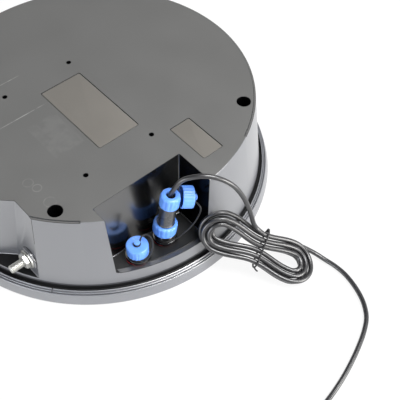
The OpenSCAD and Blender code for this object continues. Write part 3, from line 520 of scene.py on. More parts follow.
# %% Marks over the plain tone
# The marks are worn away in patches of 6 mm.
shown = masks[0]
for mask in masks[1:]:
    shown = add(tree, "ShaderNodeMath", {0: shown, 1: mask}, operation="MAXIMUM").outputs[0]
worn = add(tree, "ShaderNodeTexNoise", {"Vector": where, "Scale": 1 / (6 * MM), "Detail": 2.0})
worn = add(tree, "ShaderNodeMapRange", {"Value": worn.outputs["Fac"], "From Min": 0.3, "From Max": 0.6})
shown = add(tree, "ShaderNodeMath", {0: shown, 1: worn.outputs["Result"]}, operation="MULTIPLY")
marked = add(tree, "ShaderNodeMix", {"Factor": shown.outputs[0], 6: plain_tone, 7: linear("#b4b4b2")},
             data_type="RGBA")
tree.links.new(marked.outputs[2], shader.inputs["Base Color"])
print(textured_abs.name, "has", len(tree.nodes), "nodes")

# %% [markdown]
# ## Back housing
#
# The housing is one moulding: a tapering drum with a gutter and two ribs at its foot, a deep pocket for
# the sockets, a notch at each lower side for a terminal, four screw wells, and four small holes for a
# wall bracket. It could be modelled from a box by hand, but a spun solid that is then cut follows the
# real drawing: each cutter is a core of the mould. The flat back is split at the middles of the holes
# first, so that every hole meets an edge and no face has to wrap round one.

# %% Drum
drum = solid("energizer_housing", turned([
    (0, 7.9), (128.7, 7.9, 0.15), (128.7, 9.5, 0.35), (127.85, 9.7, 0.3), (127.8, 9.2, 0.1),
    (127.4, 9.2, 0.1), (127.35, 10.5, 0.35), (126.5, 10.8, 0.35), (126.5, 9.3, 0.3), (124.6, 9.3, 0.4),
    (124.37, 11.4), (124.24, 12.7), (124.09, 14.2), (118, back_z, 0.5), (0, back_z)], steps=240), satin_abs)


def split_flat(piece, height, cuts):
    """Joins the flat faces at a height, then splits them at planes of constant x."""
    bm = bmesh.new()
    bm.from_mesh(piece.data)
    for x in (None, *cuts):
        flat = [f for f in bm.faces
                if f.normal.z > 0.99 and abs(f.calc_center_median().z - height * MM) < 1e-6]
        if x is None:
            bmesh.ops.dissolve_faces(bm, faces=flat)
            continue
        parts = {*flat, *(e for f in flat for e in f.edges), *(v for f in flat for v in f.verts)}
        bmesh.ops.bisect_plane(bm, geom=list(parts), plane_co=(x * MM, 0, 0), plane_no=(1, 0, 0))
    bm.to_mesh(piece.data)
    bm.free()


split_flat(drum, back_z, (-79.43, -72.6, -35.25, 13.5, 61.25, 72.6, 79.43))
print("drum", len(drum.data.polygons), "faces")

# %% Gate mark and the step at the edge
gate = block((126, -0.2, 9.2), (129.5, 0.2, 13))
carve(drum, solid("gate_mark", gate, satin_abs, Matrix.Rotation(math.radians(-51.5), 4, "Z")))
step = turned([(116.6, 75.3), (119.5, 75.3), (119.5, 77), (116.6, 77)], steps=192, ring=True,
              angle=math.radians(293))
carve(drum, solid("edge_step", step, satin_abs, Matrix.Rotation(math.radians(27), 4, "Z")))
print("trimmed", len(drum.data.polygons), "faces")

# %% Cores for the notches
notch_z = 16
seat_y = 102.77
lean = math.tan(math.radians(5.43))
both_sides = ((1, Matrix.Identity(4)), (-1, Matrix.Scale(-1, 4, (1, 0, 0))))


def notch_core(grow):
    """The room of the right notch: a leaning seat wall, a slanting side and a floor. grow makes it larger."""
    bm = block((20, -150, notch_z - grow), (130, -60, 110))
    seat = ((0, -96.9 + grow, back_z), (0, 1, -lean))
    slant = ((48.9 - grow * 1.414, -96.9, 0), (-1, 1, 0))
    for spot, way in (seat, slant):
        cut = bmesh.ops.bisect_plane(bm, geom=bm.verts[:] + bm.edges[:] + bm.faces[:], plane_co=spot,
                                     plane_no=way, clear_outer=True)["geom_cut"]
        bmesh.ops.holes_fill(bm, edges=[e for e in cut if isinstance(e, bmesh.types.BMEdge)])
    bmesh.ops.recalc_face_normals(bm, faces=bm.faces)
    return bm


def terminal_place(side):
    """Z points out of a notch, from its seat."""
    return Matrix.Translation((side * 60, -seat_y, 29)) @ Matrix.Rotation(math.radians(90), 4, "X")


for side, place in both_sides:
    core = notch_core(0)
    notch = solid("notch_core", bevelled(core, core.edges[:], 0.8, 3), satin_abs, place)
    pad = turned([(0, -60), (8.5, -60), (8.5, 0, 0.6), (0, 0)])
    carve(notch, solid("seat_pad", pad, satin_abs, terminal_place(side)))
    carve(drum, notch)
print("notches cut", len(drum.data.polygons), "faces")

# %% Places of the wells, holes, sockets and plates
# The two lower wells lie 11.2 degrees beside the studs. A plate is given by its middle and its two sides.
low_angle = math.degrees(math.atan2(102.7675, 60)) - 11.2
well_ring = 109.5
wells = [(well_ring * math.cos(a), well_ring * math.sin(a))
         for a in map(math.radians, (43.5, -low_angle, 136.5, 180 + low_angle))]
brackets = [(13 + sx * 48.25, -22 + sy * 27.75) for sx in (-1, 1) for sy in (-1, 1)]
sockets = [(103.8, -19.5), (103.8, -43.5)]
plates = {"rating": (13.5, -11.8, 68.6, 33), "socket": (83.6, 26.8, 34.6, 16.4)}
print(len(wells), "wells,", len(brackets), "bracket holes,", len(sockets), "sockets,", len(plates), "plates")

# %% Pocket
pocket_z = 24
pocket_lean = 6


def pocket_core(grow):
    """The room of the pocket. Its two inner walls lean back towards the face. grow makes it larger."""
    bm = block((87 - grow, -63.4 - grow, pocket_z - grow), (160, 8.6 + grow, 120))
    for v in bm.verts:
        lean_in = pocket_lean * (back_z - v.co.z) / (back_z - pocket_z)
        v.co.x += lean_in if v.co.x < 100 else 0
        v.co.y -= lean_in if v.co.y > 0 else 0
    return bm


core = pocket_core(0)
carve(drum, solid("pocket_core", bevelled(core, core.edges[:], 1.1), polished_shade_abs))
# The sill is a shallow step along the pocket's open side.
# Its cutter leaves the darker sill finish, painted shade, on the sill.
sill = solid("sill_core", block((94, -61.2, 23.5), (160, 0.4, 26)), sill_and_foot_shade_abs)
reach = turned([(119.6, 20), (140, 20), (140, 30), (119.6, 30)], 240, ring=True)
carve(sill, solid("sill_reach", reach, sill_and_foot_shade_abs), "INTERSECT")
carve(drum, sill)
print("pocket cut", len(drum.data.polygons), "faces")

# %% Wells, bracket holes and plate recesses
plate_low = 75.5
carve(drum, solid("well_cores", rods(wells, 5, 12, 90), polished_shade_abs))
carve(drum, solid("bracket_cores", rods(brackets, 1.7, 67, 90, 32), polished_shade_abs))
for x, y, wide, long in plates.values():
    half = Vector(((wide + 1) / 2, (long + 1) / 2, 0))
    recess = block(Vector((x, y, plate_low)) - half, Vector((x, y, 90)) + half)
    upright = [e for e in recess.edges if abs(e.verts[0].co.z - e.verts[1].co.z) > 1]
    carve(drum, solid("plate_recess", bevelled(recess, upright, 1.5, 5), textured_abs))
print("cut", len(drum.data.polygons), "faces")

# %% Hollow
# The room inside stays clear of the walls of the pocket, the notches, the wells and the bracket holes.
wall = 2.6
room = turned([(0, 0), (121.9, 0), (121.9, 10.1), (115.4, 73), (0, 73)], steps=120)
room = solid("room_core", room, satin_abs)
carve(room, solid("pocket_wall", pocket_core(wall), satin_abs))
for side, place in both_sides:
    carve(room, solid("notch_wall", notch_core(wall), satin_abs, place))
    pad = turned([(0, -6.4), (8.5, -6.4), (8.5, 30), (0, 30)])
    carve(room, solid("pad_wall", pad, satin_abs, terminal_place(side)))
carve(room, solid("well_walls", rods(wells, 7, 9.5, 90), satin_abs))
carve(room, solid("bracket_walls", rods(brackets, 3.7, 65, 90), satin_abs))
carve(drum, room)
print("hollow", len(drum.data.polygons), "faces")

# %% Holes through the floors
split_flat(drum, pocket_z, (sockets[0][0],))
carve(drum, solid("socket_holes", rods(sockets, 6.5, 15, 30), polished_shade_abs))
carve(drum, solid("screw_holes", rods(wells, 2.3, 0, 20), polished_shade_abs))
for side in (1, -1):
    hole = turned([(0, -20), (3.1, -20), (3.1, 5), (0, 5)], 48)
    carve(drum, solid("stud_hole", hole, satin_abs, terminal_place(side)))
print("holes cut", len(drum.data.polygons), "faces")

# %% [markdown]
# ## Which finish shows where on the housing
#
# The cutters have left their own finish on what they cut. The rest is told apart by place: the flat back
# is textured; the gutter, the foot of the wall and the floors lie in shade, painted with darker copies of
# the finish; the ribs take the cover's lighter copy, a painted highlight; and the pocket's far wall gets the
# darkest copy, painted shade. A paint mask could do the same, but a material slot for each face is sharper
# and survives the export. The small rounding of the edges takes the shaded finish, which paints them as thin
# dark lines of shade.

# %% Finishes of the housing
slot_of = {}
for use, material in (("back", textured_abs), ("shade", shaded_abs), ("deep", far_wall_shade_abs), ("rib", cover_sheen_abs),
                      ("foot", sill_and_foot_shade_abs)):
    drum.data.materials.append(material)
    slot_of[use] = drum.data.materials.find(material.name)
# Gutter, wall foot, floors and the pocket's far wall take painted shade; the ribs take a painted highlight.
for face in drum.data.polygons:
    x, y, z = face.center / MM
    r = math.hypot(x, y)
    level = face.normal.z > 0.9
    if level and z > 75.2:
        face.material_index = slot_of["back"]
    elif 9 < z < 12.6 and 123.9 < r < 126.6 or level and (23.95 < z < 24.1 or 15.8 < z < 16.2):
        face.material_index = slot_of["shade"]
    elif 12.6 < z < 14.2 and 123.9 < r < 124.5:
        face.material_index = slot_of["foot"]
    elif z < 12 and r > 126.6:
        face.material_index = slot_of["rib"]
    elif face.normal.y < -0.9 and x > 85 and 2 < y < 9 and z > pocket_z:
        face.material_index = slot_of["deep"]
# The edge rounding takes the shaded finish: painted dark lines of shade along every sharp edge.
settle(edged(drum, 0.2, slot=slot_of["shade"]), "base", "housing_black", "back_housing")

# %% [markdown]
# ## Front cover
#
# The cover is a shallow dish that closes the front. Only its flared skirt shows from above, as the lowest
# ring. It is spun from its section with a soft rim, and the button and lamp holes are cut through. Posts
# for the board and bosses for the screws stand inside.

# %% Holes in the front
def joined(*shapes):
    """Several bmeshes as one."""
    whole = bmesh.new()
    for bm in shapes:
        part = bpy.data.meshes.new("part")
        bm.to_mesh(part)
        bm.free()
        whole.from_mesh(part)
        bpy.data.meshes.remove(part)
    return whole


button_spot = (0, -38)
lamps = [(16 * i, 30) for i in (-2, -1, 0, 1, 2)]
posts = [(-10 + sx * 52, sy * 47) for sx in (-1, 1) for sy in (-1, 1)]


def front_openings(low, high):
    """The cutters for the button and for the lamps."""
    return joined(rods([button_spot], 8.1, low, high, 64), rods(lamps, 2.58, low, high, 32))


print(len(lamps), "lamps,", len(posts), "posts")

# %% Front cover
cover = solid("front_cover_dish", turned([
    (0, 2.5), (121.1, 2.5, 1.2), (123.1, 0, 0.8), (131.1, 0, 0.7), (132.1, 1, 0.7), (129.9, 8.8, 0.3),
    (129, 8.8, 0.2), (129, 5.5, 0.4), (0, 5.5)], steps=240), cover_sheen_abs)
bosses = joined(rods(wells, 5, 4.5, 9.2), rods(posts, 4, 4.5, 19))
carve(cover, solid("bosses", bosses, cover_sheen_abs), "UNION")
boss_holes = joined(rods(wells, 2.08, 5.5, 30, 32), rods(posts, 1.38, 11.6, 30, 32))
carve(cover, solid("boss_holes", boss_holes, cover_sheen_abs))
carve(cover, solid("front_holes", front_openings(-5, 10), cover_sheen_abs))
settle(edged(cover, 0.2), "base", "cover_black", "front_cover")

# %% [markdown]
# ## Plates
#
# Two plates of matt polyester film sit in shallow recesses. They are bare, a little lighter and warmer
# than the plastic round them. A flat sheet is rounded at its corners and raised to its thickness.

# %% Film finish
grey_film = finish("matt_polyester_film", 0.5, 1.58, ("#6c6964", "#64615c"), 14, (0.46, 0.56), (0.6, 0.008))


# %% Plates
def slab(x, y, wide, long, low, high, corner):
    """A plate with round corners, between two heights."""
    bm = bmesh.new()
    bmesh.ops.create_grid(bm, x_segments=1, y_segments=1, size=0.5)
    bmesh.ops.scale(bm, vec=(wide, long, 1), verts=bm.verts)
    bmesh.ops.bevel(bm, geom=bm.verts[:], offset=corner, segments=6, profile=0.5, affect="VERTICES",
                    material=-1)
    raised = bmesh.ops.extrude_face_region(bm, geom=bm.faces[:])["geom"]
    top = [v for v in raised if isinstance(v, bmesh.types.BMVert)]
    bmesh.ops.translate(bm, vec=(0, 0, high - low), verts=top)
    bmesh.ops.translate(bm, vec=(x, y, low), verts=bm.verts)
    bmesh.ops.recalc_face_normals(bm, faces=bm.faces)
    return bm


def soften(bm, height, width):
    """Rounds the edges that lie at one height."""
    return bevelled(bm, [e for e in bm.edges if all(abs(v.co.z - height) < 1e-4 for v in e.verts)], width)


plate_high = 75.9
for name, sides in plates.items():
    film = soften(slab(*sides, plate_low, plate_high, 1), plate_high, 0.08)
    settle(solid(name + "_film", film, grey_film), "base", "plate_grey", name + "_plate")

# %% [markdown]
# ## Terminals
#
# Each notch holds an M6 stud of zinc-plated steel with a wide washer and a hexagon nut. The nut screws
# along the stud, so the thread is real: a saw-tooth outline spun with a lift at each step climbs like the
# thread on a lathe. The nut is a hexagon that shares its corners with a turned, chamfered disc, as real
# nuts are made.

# %% Zinc-plated steel
zinc_steel = finish("zinc_plated_steel", 0.34, None, ("#c6c6c2", "#b2b2ae"), 2.4, (0.38, 0.46), (0.5, 0.003),
                    metallic=1.0)


# %% Threads, nuts and rings
def threaded(crest, root, pitch, low, high, steps=36):
    """A screw thread along Z, cut flat at its ends."""
    bm = bmesh.new()
    line = [bm.verts.new((r, 0, low + (h - 1) * pitch))
            for r, h in ((root, 0), (crest, 0.4), (crest, 0.55), (root, 0.95), (root, 1))]
    for a, b in zip(line, line[1:]):
        bm.edges.new((a, b))
    turns = math.ceil((high - low) / pitch) + 2
    bmesh.ops.spin(bm, geom=bm.verts[:] + bm.edges[:], cent=(0, 0, 0), axis=(0, 0, 1),
                   dvec=(0, 0, pitch / steps), angle=math.tau * turns, steps=steps * turns)
    bmesh.ops.remove_doubles(bm, verts=bm.verts, dist=pitch / 200)
    for height, way in ((low, -1), (high, 1)):
        bmesh.ops.bisect_plane(bm, geom=bm.verts[:] + bm.edges[:] + bm.faces[:], plane_co=(0, 0, height),
                               plane_no=(0, 0, way), clear_outer=True)
    bmesh.ops.holes_fill(bm, edges=[e for e in bm.edges if e.is_boundary])
    bmesh.ops.recalc_face_normals(bm, faces=bm.faces)
    return bm


def hex_nut(name, flats, thick, bore, material, place):
    """A chamfered hexagon nut that stands on Z = 0 of its place."""
    corner = flats / math.sqrt(3)
    bm = bmesh.new()
    bmesh.ops.create_cone(bm, cap_ends=True, segments=6, radius1=corner, radius2=corner, depth=thick,
                          matrix=Matrix.Translation((0, 0, thick / 2)))
    nut = solid(name, bm, material, place)
    soft = turned([(0, 0), (flats / 2 - 0.2, 0), (corner + 0.1, 0.75), (corner + 0.1, thick - 0.75),
                   (flats / 2 - 0.2, thick), (0, thick)])
    carve(nut, solid("chamfer", soft, material, place), "INTERSECT")
    hole = turned([(0, -1), (bore + 1.4, -1), (bore, 0.4), (bore, thick - 0.4), (bore + 1.4, thick + 1),
                   (0, thick + 1)])
    return carve(nut, solid("bore", hole, material, place))


def flat_ring(inner, outer, thick, soft=0.15):
    """A flat ring on Z = 0 with soft edges."""
    return turned([(inner, 0, soft), (outer, 0, soft), (outer, thick, soft), (inner, thick, soft)], ring=True)


print("thread helpers ready")

# %% Studs, washers and nuts
stud_end, washer_thick, bolt_bore = 14.2, 1.2, 3.08
for side, name in ((1, "fence"), (-1, "earth")):
    place = terminal_place(side)
    stud = solid(name + "_screw", threaded(3, 2.5, 1, -stud_end, stud_end), zinc_steel, place)
    tip = turned([(0, -stud_end), (3.1, -stud_end), (3.1, 13.4), (2.3, stud_end), (0, stud_end)], 48)
    carve(stud, solid("tip", tip, zinc_steel, place), "INTERSECT")
    settle(stud, "base", "zinc", name + "_stud", sharp=50)
    washer = solid(name + "_wide_washer", flat_ring(bolt_bore, 7.2, washer_thick, 0.25), zinc_steel, place)
    settle(washer, name + "_washer", "zinc", name + "_washer")
    above = place @ Matrix.Translation((0, 0, washer_thick))
    nut = hex_nut(name + "_hex_nut", 10, 3.2, bolt_bore, zinc_steel, above)
    settle(edged(nut, 0.12), name + "_nut", "zinc", name + "_nut", sharp=30)

# %% [markdown]
# ## Sockets
#
# Two panel sockets of black nylon stand on the pocket's floor, each on a thin red silicone ring. Below
# the flange is the body that goes through the floor, above it a threaded neck with a bore for the plug.
# The body is spun, the neck is another thread with its bore cut out. The pins keep their CAD shape.
# Moulded nylon has an IOR of 1.53 and a slight shine; the sockets are glossier than the plug, and their
# much darker tone is painted shade from the pocket. EPDM rubber and silicone are duller.

# %% Nylon, rubber and silicone
black_nylon = finish("moulded_nylon_black", 0.3, 1.53, ("#232427", "#1a1b1d"), 6, (0.24, 0.38), (0.5, 0.01),
                     coat=0.7)
# Socket nylon: glossier than the plug's, and darker as painted shade from the pocket.
gloss_shade_nylon = finish("moulded_nylon_gloss_shade", 0.16, 1.6, ("#0d0d0f", "#08080a"), 6, (0.13, 0.2), (0.5, 0.004))
soft_rubber = finish("epdm_rubber", 0.5, 1.52, ("#151517", "#0e0e10"), 4, (0.42, 0.6), (0.6, 0.015))
red_silicone = finish("silicone_red", 0.42, 1.43, ("#f03a48", "#d92c3a"), 5, (0.36, 0.5), (0.8, 0.01))
blue_nylon = finish("moulded_nylon_blue", 0.32, 1.53, ("#669aec", "#588ae2"), 5, (0.26, 0.4), (0.5, 0.01))

# %% Sockets
for spot, name in zip(sockets, ("adapter", "battery")):
    place = Matrix.Translation((*spot, 0))
    body = solid(name + "_panel_socket", turned([
        (0, 12), (6.2, 12, 0.4), (6.2, 25), (8.6, 25, 0.15), (8.6, 27.4, 0.5), (5.9, 27.4), (5.9, 28.2),
        (0, 28.2)]), gloss_shade_nylon, place)
    carve(body, solid("neck", threaded(6.4, 5.9, 1.3, 27.8, 34.5, 48), gloss_shade_nylon, place), "UNION")
    bore = turned([(0, 29.5), (5, 29.5), (5, 34.2), (5.5, 34.8), (0, 34.8)])
    carve(body, solid("bore", bore, gloss_shade_nylon, place))
    settle(body, "base", "connector_black", name + "_socket", sharp=40)


# %% Seals under the sockets
def moved(bm, way):
    """A bmesh shifted by a vector."""
    bmesh.ops.translate(bm, vec=way, verts=bm.verts)
    return bm


# Each ring is squeezed out a little on one side of its flange.
seals = [moved(flat_ring(6.9, 7.95, 1, 0.3), (x - 0.43, y - 0.48, pocket_z)) for x, y in sockets]
settle(solid("socket_seal_rings", joined(*seals), red_silicone), "base", "seal_red", "socket_seals")

# %% [markdown]
# ## Dust caps
#
# A blue nylon cap screws on each socket. One is on; the other hangs loose behind the plug. A cap is a cup
# with a rolled top edge, a row of grip grooves and a small mushroom post for the tether. It is spun with
# many steps, and the grooves are pressed in by moving the outer points towards the axis.

# %% Caps
def fluted(bm, count, depth, radius, low, high):
    """Presses grooves into the points outside a radius, between two heights."""
    for v in bm.verts:
        r = math.hypot(v.co.x, v.co.y)
        if r > radius and low <= v.co.z <= high:
            wave = 0.5 + 0.5 * math.cos(count * math.atan2(v.co.y, v.co.x))
            v.co.xy *= 1 - depth * wave ** 2.0 / r
    return bm


def cap_shape():
    """A cap with its mouth down on Z = 0."""
    bm = turned([(0, 6.85), (6.7, 6.85, 0.3), (6.7, 0, 0.2), (7.8, 0, 0.3), (7.8, 2.4), (7.8, 4.8),
                 (7.8, 7.0), (7.8, 8.2, 1.2), (1.9, 8.2, 0.3), (1.5, 8.6, 0.2), (1.5, 10, 0.1),
                 (2.2, 10.1, 0.2), (2.2, 10.8, 0.4), (0, 10.8)], steps=240)
    return fluted(bm, 20, 0.28, 7.3, -1, 7.1)


loose_spot = Vector((109.9, -4.4, 61.7))
cap_places = {
    "battery": Matrix.Translation((*sockets[1], 28.78)),
    "loose": (Matrix.Translation(loose_spot) @ Matrix.Rotation(math.radians(58.5), 4, "Z")
              @ Matrix.Rotation(math.radians(101.7), 4, "Y") @ Matrix.Translation((0, 0, -4.1)))}
for name, body in (("battery", "battery_cap"), ("loose", "base")):
    cap = solid(name + "_dust_cap", cap_shape(), blue_nylon, cap_places[name])
    settle(cap, body, "blue_plastic", name + "_cap", sharp=50)

# %% [markdown]
# ## Tethers
#
# A moulded rubber string keeps each cap: an eye round the socket's neck, a thin string, and a small eye
# round the cap's post. The battery cap's string gives when the cap is lifted, so that piece is blended
# between the housing and the cap.

# %% Tether shape
def merged(piece, *others):
    """Adds the meshes of other objects to a piece."""
    bm = bmesh.new()
    for part in (piece, *others):
        bm.from_mesh(part.data)
    bm.to_mesh(piece.data)
    bm.free()
    for part in others:
        bpy.data.objects.remove(part)
    return piece


def tether(name, socket, line, cap_place):
    """Both eyes and the string between them as one mesh."""
    string = tube(name, through(line, 8), 0.55, soft_rubber, sides=2)
    neck = solid("neck_eye", flat_ring(6.48, 7.7, 0.9, 0.25), soft_rubber,
                 Matrix.Translation((*socket, 27.4)))
    post = solid("post_eye", flat_ring(1.75, 2.65, 0.9, 0.25), soft_rubber,
                 cap_place @ Matrix.Translation((0, 0, 8.5)))
    return merged(string, neck, post)


print("tether helpers ready")

# %% Battery cap's tether
low = Vector((*sockets[1], 28))
high = Vector((*sockets[1], 37.73))
line = [low + Vector((6.1, -3.5, 0)), low + Vector((9, -1.5, 0.3)), low + Vector((9.4, 3.5, 3.4)),
        low + Vector((7.8, 7.5, 8.6)), high + Vector((4.7, 8.7, 3.8)), high + Vector((1.2, 7.1, 5.5)),
        high + Vector((-0.4, 4.5, 3.8)), high + Vector((0, 2.3, 0))]
battery_string = tether("battery_cap_tether", sockets[1], line, cap_places["battery"])
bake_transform(battery_string, "base", "battery_cap_seal", start=(0.1038, -0.0435, 0.029),
         end=(0.1038, -0.0435, 0.037))
settle(battery_string, "base", "rubber_black", "battery_tether")

# %% Loose cap's tether
low = Vector((*sockets[0], 28))
cap_axis = cap_places["loose"].to_3x3() @ Vector((0, 0, 1))
down = (Vector((0, 0, -1)) + cap_axis.z * cap_axis).normalized()
eye = loose_spot + cap_axis * 4.85
line = [low + Vector((7.05, 0, 0)), low + Vector((9, 3.2, 0.6)), low + Vector((10.4, 8.5, 3.5)),
        low + Vector((12.4, 13, 8.5)), eye + Vector((5.4, -1.6, -16.7)), eye + Vector((5.2, 1.6, -8.7)),
        eye + 4.6 * down + 1.8 * cap_axis, eye + 2.3 * down]
loose_string = tether("loose_cap_tether", sockets[0], line, cap_places["loose"])
settle(loose_string, "base", "rubber_black", "loose_tether")

# %% [markdown]
# ## Plug
#
# The plug stands half out of its socket and leans a little. Its black barrel carries a free blue coupling
# ring below and a blue clamp nut on top, where the cord comes out. All three are spun in the plug's own
# axes and set in place by one matrix, so the parts stay true to one another.

# %% Barrel
barrel = solid("plug_barrel", turned([
    (0, -3.6), (4.2, -3.6, 0.5), (4.2, 2), (5.75, 2), (5.75, 2.5), (6.6, 2.5, 0.3), (6.6, 3.9, 0.3),
    (5.75, 3.9), (5.75, 7.5), (6.25, 7.5, 0.2), (6.25, 8.5, 0.4), (5.75, 8.5, 0.2), (5.75, 26.4, 0.5),
    (4.9, 26.4), (4.9, 31, 0.4), (0, 31)]), black_nylon, plug_place)
key = block((-6.45, -0.8, 21), (-4.45, 0.8, 23.4), 0.35)
carve(barrel, solid("key", key, black_nylon, plug_place), "UNION")
turn_back = plug_place @ Matrix.Rotation(math.radians(-50), 4, "Z")
carve(barrel, solid("pin_holes", rods([(0, 2.1), (0, -2.1)], 1.6, -4.6, 0.4, 32), black_nylon, turn_back))
settle(edged(barrel, 0.12), "plug", "connector_black", "plug_body", sharp=40)

# %% Ring and clamp nut
ring = turned([(7.2, -1.5, 0.2), (8.4, -1.5, 0.5), (8.4, 0), (8.4, 2.6), (8.4, 5.4), (8.4, 6.2, 0.5),
               (7.2, 7.2, 0.5), (5.83, 7.2, 0.3), (5.83, 4.2), (7.2, 4.2, 0.3)], steps=192, ring=True)
ring = solid("blue_coupling_ring", fluted(ring, 16, 0.32, 7.5, -0.4, 7.3), blue_nylon, plug_place)
settle(ring, "coupling_ring", "blue_plastic", "coupling_ring", sharp=50)
clamp = turned([(4.98, 26.6), (6.85, 26.6, 0.4), (6.85, 28), (6.85, 31), (6.85, 34), (6.85, 36.4, 2.4),
                (3.1, 36.4, 0.4), (3.1, 34, 0.2), (4.4, 34), (4.4, 31.2), (4.98, 31.2)], steps=192, ring=True)
clamp = solid("blue_clamp_nut", fluted(clamp, 12, 0.4, 5.2, 27.4, 35.8), blue_nylon, plug_place)
settle(clamp, "plug", "blue_plastic", "clamp_nut", sharp=50)

# %% [markdown]
# ## Tie
#
# A thin black tie draws the hank in at its waist. It is a closed line round the strands, given a round
# section. Where its ends meet they are twisted into a knot, and the short end sticks out below.

# %% Tie
across, above = hank_frame(3)
tie_place = Matrix.Translation(hank_place(3, 0, 0)) @ Matrix((across, above, hank_way)).transposed().to_4x4()
tie_r, tie_gap = 0.6, 0.4
tie_high = hank_half - hank_waist + cord_r + tie_gap
tie_low = tie_high - hank_step / 2
tie_end = hank_step / 2 + cord_r + tie_gap + tie_r
tie_middle = (tie_high - tie_low) / 2
tie_half = (tie_high + tie_low + 2.4) / 2 + tie_r - tie_end
loop = [Vector((tie_middle + side * (tie_half + tie_end * math.cos(a)), side * tie_end * math.sin(a), 0))
        for side in (1, -1) for a in (math.radians(15 * k - 90) for k in range(13))]
band = tube("hank_tie_band", [tie_place @ spot for spot in loop], tie_r, soft_rubber, sides=3, closed=True)
print("tie", round(2 * (tie_half + tie_end), 1), "mm wide")

# %% Knot and loose end of the tie
tie_left = tie_middle - tie_half - tie_end
tie_right = tie_middle + tie_half + tie_end
knot = bmesh.new()
bmesh.ops.create_uvsphere(knot, u_segments=16, v_segments=10, radius=1.25)
bmesh.ops.scale(knot, vec=(1.3, 0.9, 1), verts=knot.verts)
knot = solid("knot", knot, soft_rubber, tie_place @ Matrix.Translation((tie_right - 0.3, 0.4, 0)))
end = [(tie_left + 0.4, 0.3, 0), (tie_left - 0.5, 1.4, 0.5), (tie_left - 1.3, 2.2, 1.5),
       (tie_left - 1.7, 2.7, 2.8)]
tail = tube("tail", [tie_place @ spot for spot in through(end, 4)], tie_r * 0.9, soft_rubber, sides=3)
settle(merged(band, knot, tail), "base", "connector_black", "hank_tie", sharp=50)

# %% [markdown]
# ## Mains adapter
#
# The cord ends in a small mains adapter that lies on its face beside the drum, outside the picture. Its
# two halves meet in a seam with a small groove, its long sides carry grip slots, and the cord leaves
# through a ribbed rubber boot. The halves are rounded slabs, the boot and the pins are spun. The case is
# polycarbonate with a satin texture, and the pins are nickel-plated brass with a black sleeve.

# %% Adapter finishes
adapter_pc = finish("satin_polycarbonate_black", 0.36, 1.58, ("#222224", "#1b1b1d"), 18, (0.32, 0.44),
                    (0.7, 0.02))
plated_brass = finish("nickel_plated_brass", 0.24, None, ("#dcd6c6", "#c9c2b0"), 3, (0.18, 0.32),
                      metallic=1.0)

# %% Adapter halves
adapter_x, adapter_y, seam_z = 259.5, -95, 15
prong_spots = [(250.2, adapter_y), (268.8, adapter_y)]


def grip_slots():
    """Two rows of cutters along the long sides."""
    spots = [(adapter_x + side * 21, adapter_y + 3.2 * i) for side in (-1, 1) for i in range(-4, 5)]
    return joined(*(block((x - 0.6, y - 0.8, 6), (x + 0.6, y + 0.8, 24), 0.3) for x, y in spots))


shells = []
for name, low, high, outer in (("adapter_shell", 0, seam_z, 0), ("adapter_face", seam_z, 30, 30)):
    shell = soften(slab(adapter_x, adapter_y, 42, 66, low, high, 6), outer, 2.4)
    shell = solid(name, soften(shell, seam_z, 0.4), adapter_pc)
    carve(shell, solid("grip_slots", grip_slots(), adapter_pc))
    shells.append(shell)
case, lid = shells
carve(lid, solid("pin_seats", rods(prong_spots, 2, 24, 40), adapter_pc))
for spot in prong_spots:
    groove = turned([(2, 29.6), (3.4, 29.6), (3.4, 31), (2, 31)], 48, ring=True)
    carve(lid, solid("pin_groove", groove, adapter_pc, Matrix.Translation((*spot, 0))))
settle(case, "base", "adapter_black", "adapter_case")
settle(lid, "base", "adapter_black", "adapter_lid")

# %% Adapter pins
sleeve_top = 39.5
prongs = []
for spot in prong_spots:
    prong = turned([(0, 24), (1.96, 24), (1.96, 39.4, 0.2), (2, 39.8), (2, 49, 1.6), (0, 49)], 48)
    for face in prong.faces:
        face.material_index = 1 if face.calc_center_median().z < sleeve_top else 0
    prongs.append(moved(prong, (*spot, 0)))
prongs = solid("adapter_prongs", joined(*prongs), plated_brass)
prongs.data.materials.append(adapter_pc)
settle(prongs, "base", "contact_brass", "adapter_pins")

# %% Boot, and the cord's facts
ribs = [(r, 5.2 + 3.1 * i + z, 0.25) for i in range(5)
        for r, z in ((3.55 - 0.2 * i, 0), (3.45 - 0.2 * i, 1.7), (2.75 - 0.12 * i, 1.8),
                     (2.7 - 0.12 * i, 2.9))]
boot = turned([(0, 0), (4, 0, 0.3), (4, 3, 0.6), (3, 4.2)] + ribs
              + [(2.3, 21.2), (2.3, 22, 0.3), (0, 22)], 48)
boot = solid("adapter_boot", boot, soft_rubber,
             Matrix.Translation((adapter_x, -62, 9)) @ Matrix.Rotation(math.radians(-90), 4, "X"))
settle(boot, "base", "rubber_black", "adapter_relief")

# %% [markdown]
# ## Front
#
# The front lies on the table. It has a round fascia of film, a dished button that slides in, and a row of
# five domed lamp lenses. All are spun; the fascia gets its holes and a shallow frame round the lamps by
# cutting. The lenses are clear polycarbonate, which has an IOR of 1.58.

# %% Front finishes
fascia_film = finish("polyester_fascia", 0.4, 1.58, ("#7d7b77", "#74726e"), 20, (0.34, 0.46), (0.5, 0.01))
lens_resin = finish("clear_polycarbonate", 0.08, 1.58, ("#eef2f4", "#e2e8ea"), 4, (0.05, 0.12))
lens_resin.node_tree.nodes["Principled BSDF"].inputs["Transmission Weight"].default_value = 0.85

# %% Fascia
fascia = solid("front_film", turned([(0, 1.3), (92, 1.3, 0.4), (92, 2.5), (0, 2.5)], steps=160), fascia_film)
carve(fascia, solid("front_cut", front_openings(0, 4), fascia_film))
carve(fascia, solid("lamp_frame", slab(0, 30, 84, 14, 0, 1.45, 5), fascia_film))
groove = turned([(85.5, 0), (86.3, 0), (86.3, 1.5), (85.5, 1.5)], steps=160, ring=True)
carve(fascia, solid("ring_groove", groove, fascia_film))
settle(fascia, "base", "plate_grey", "front_fascia")

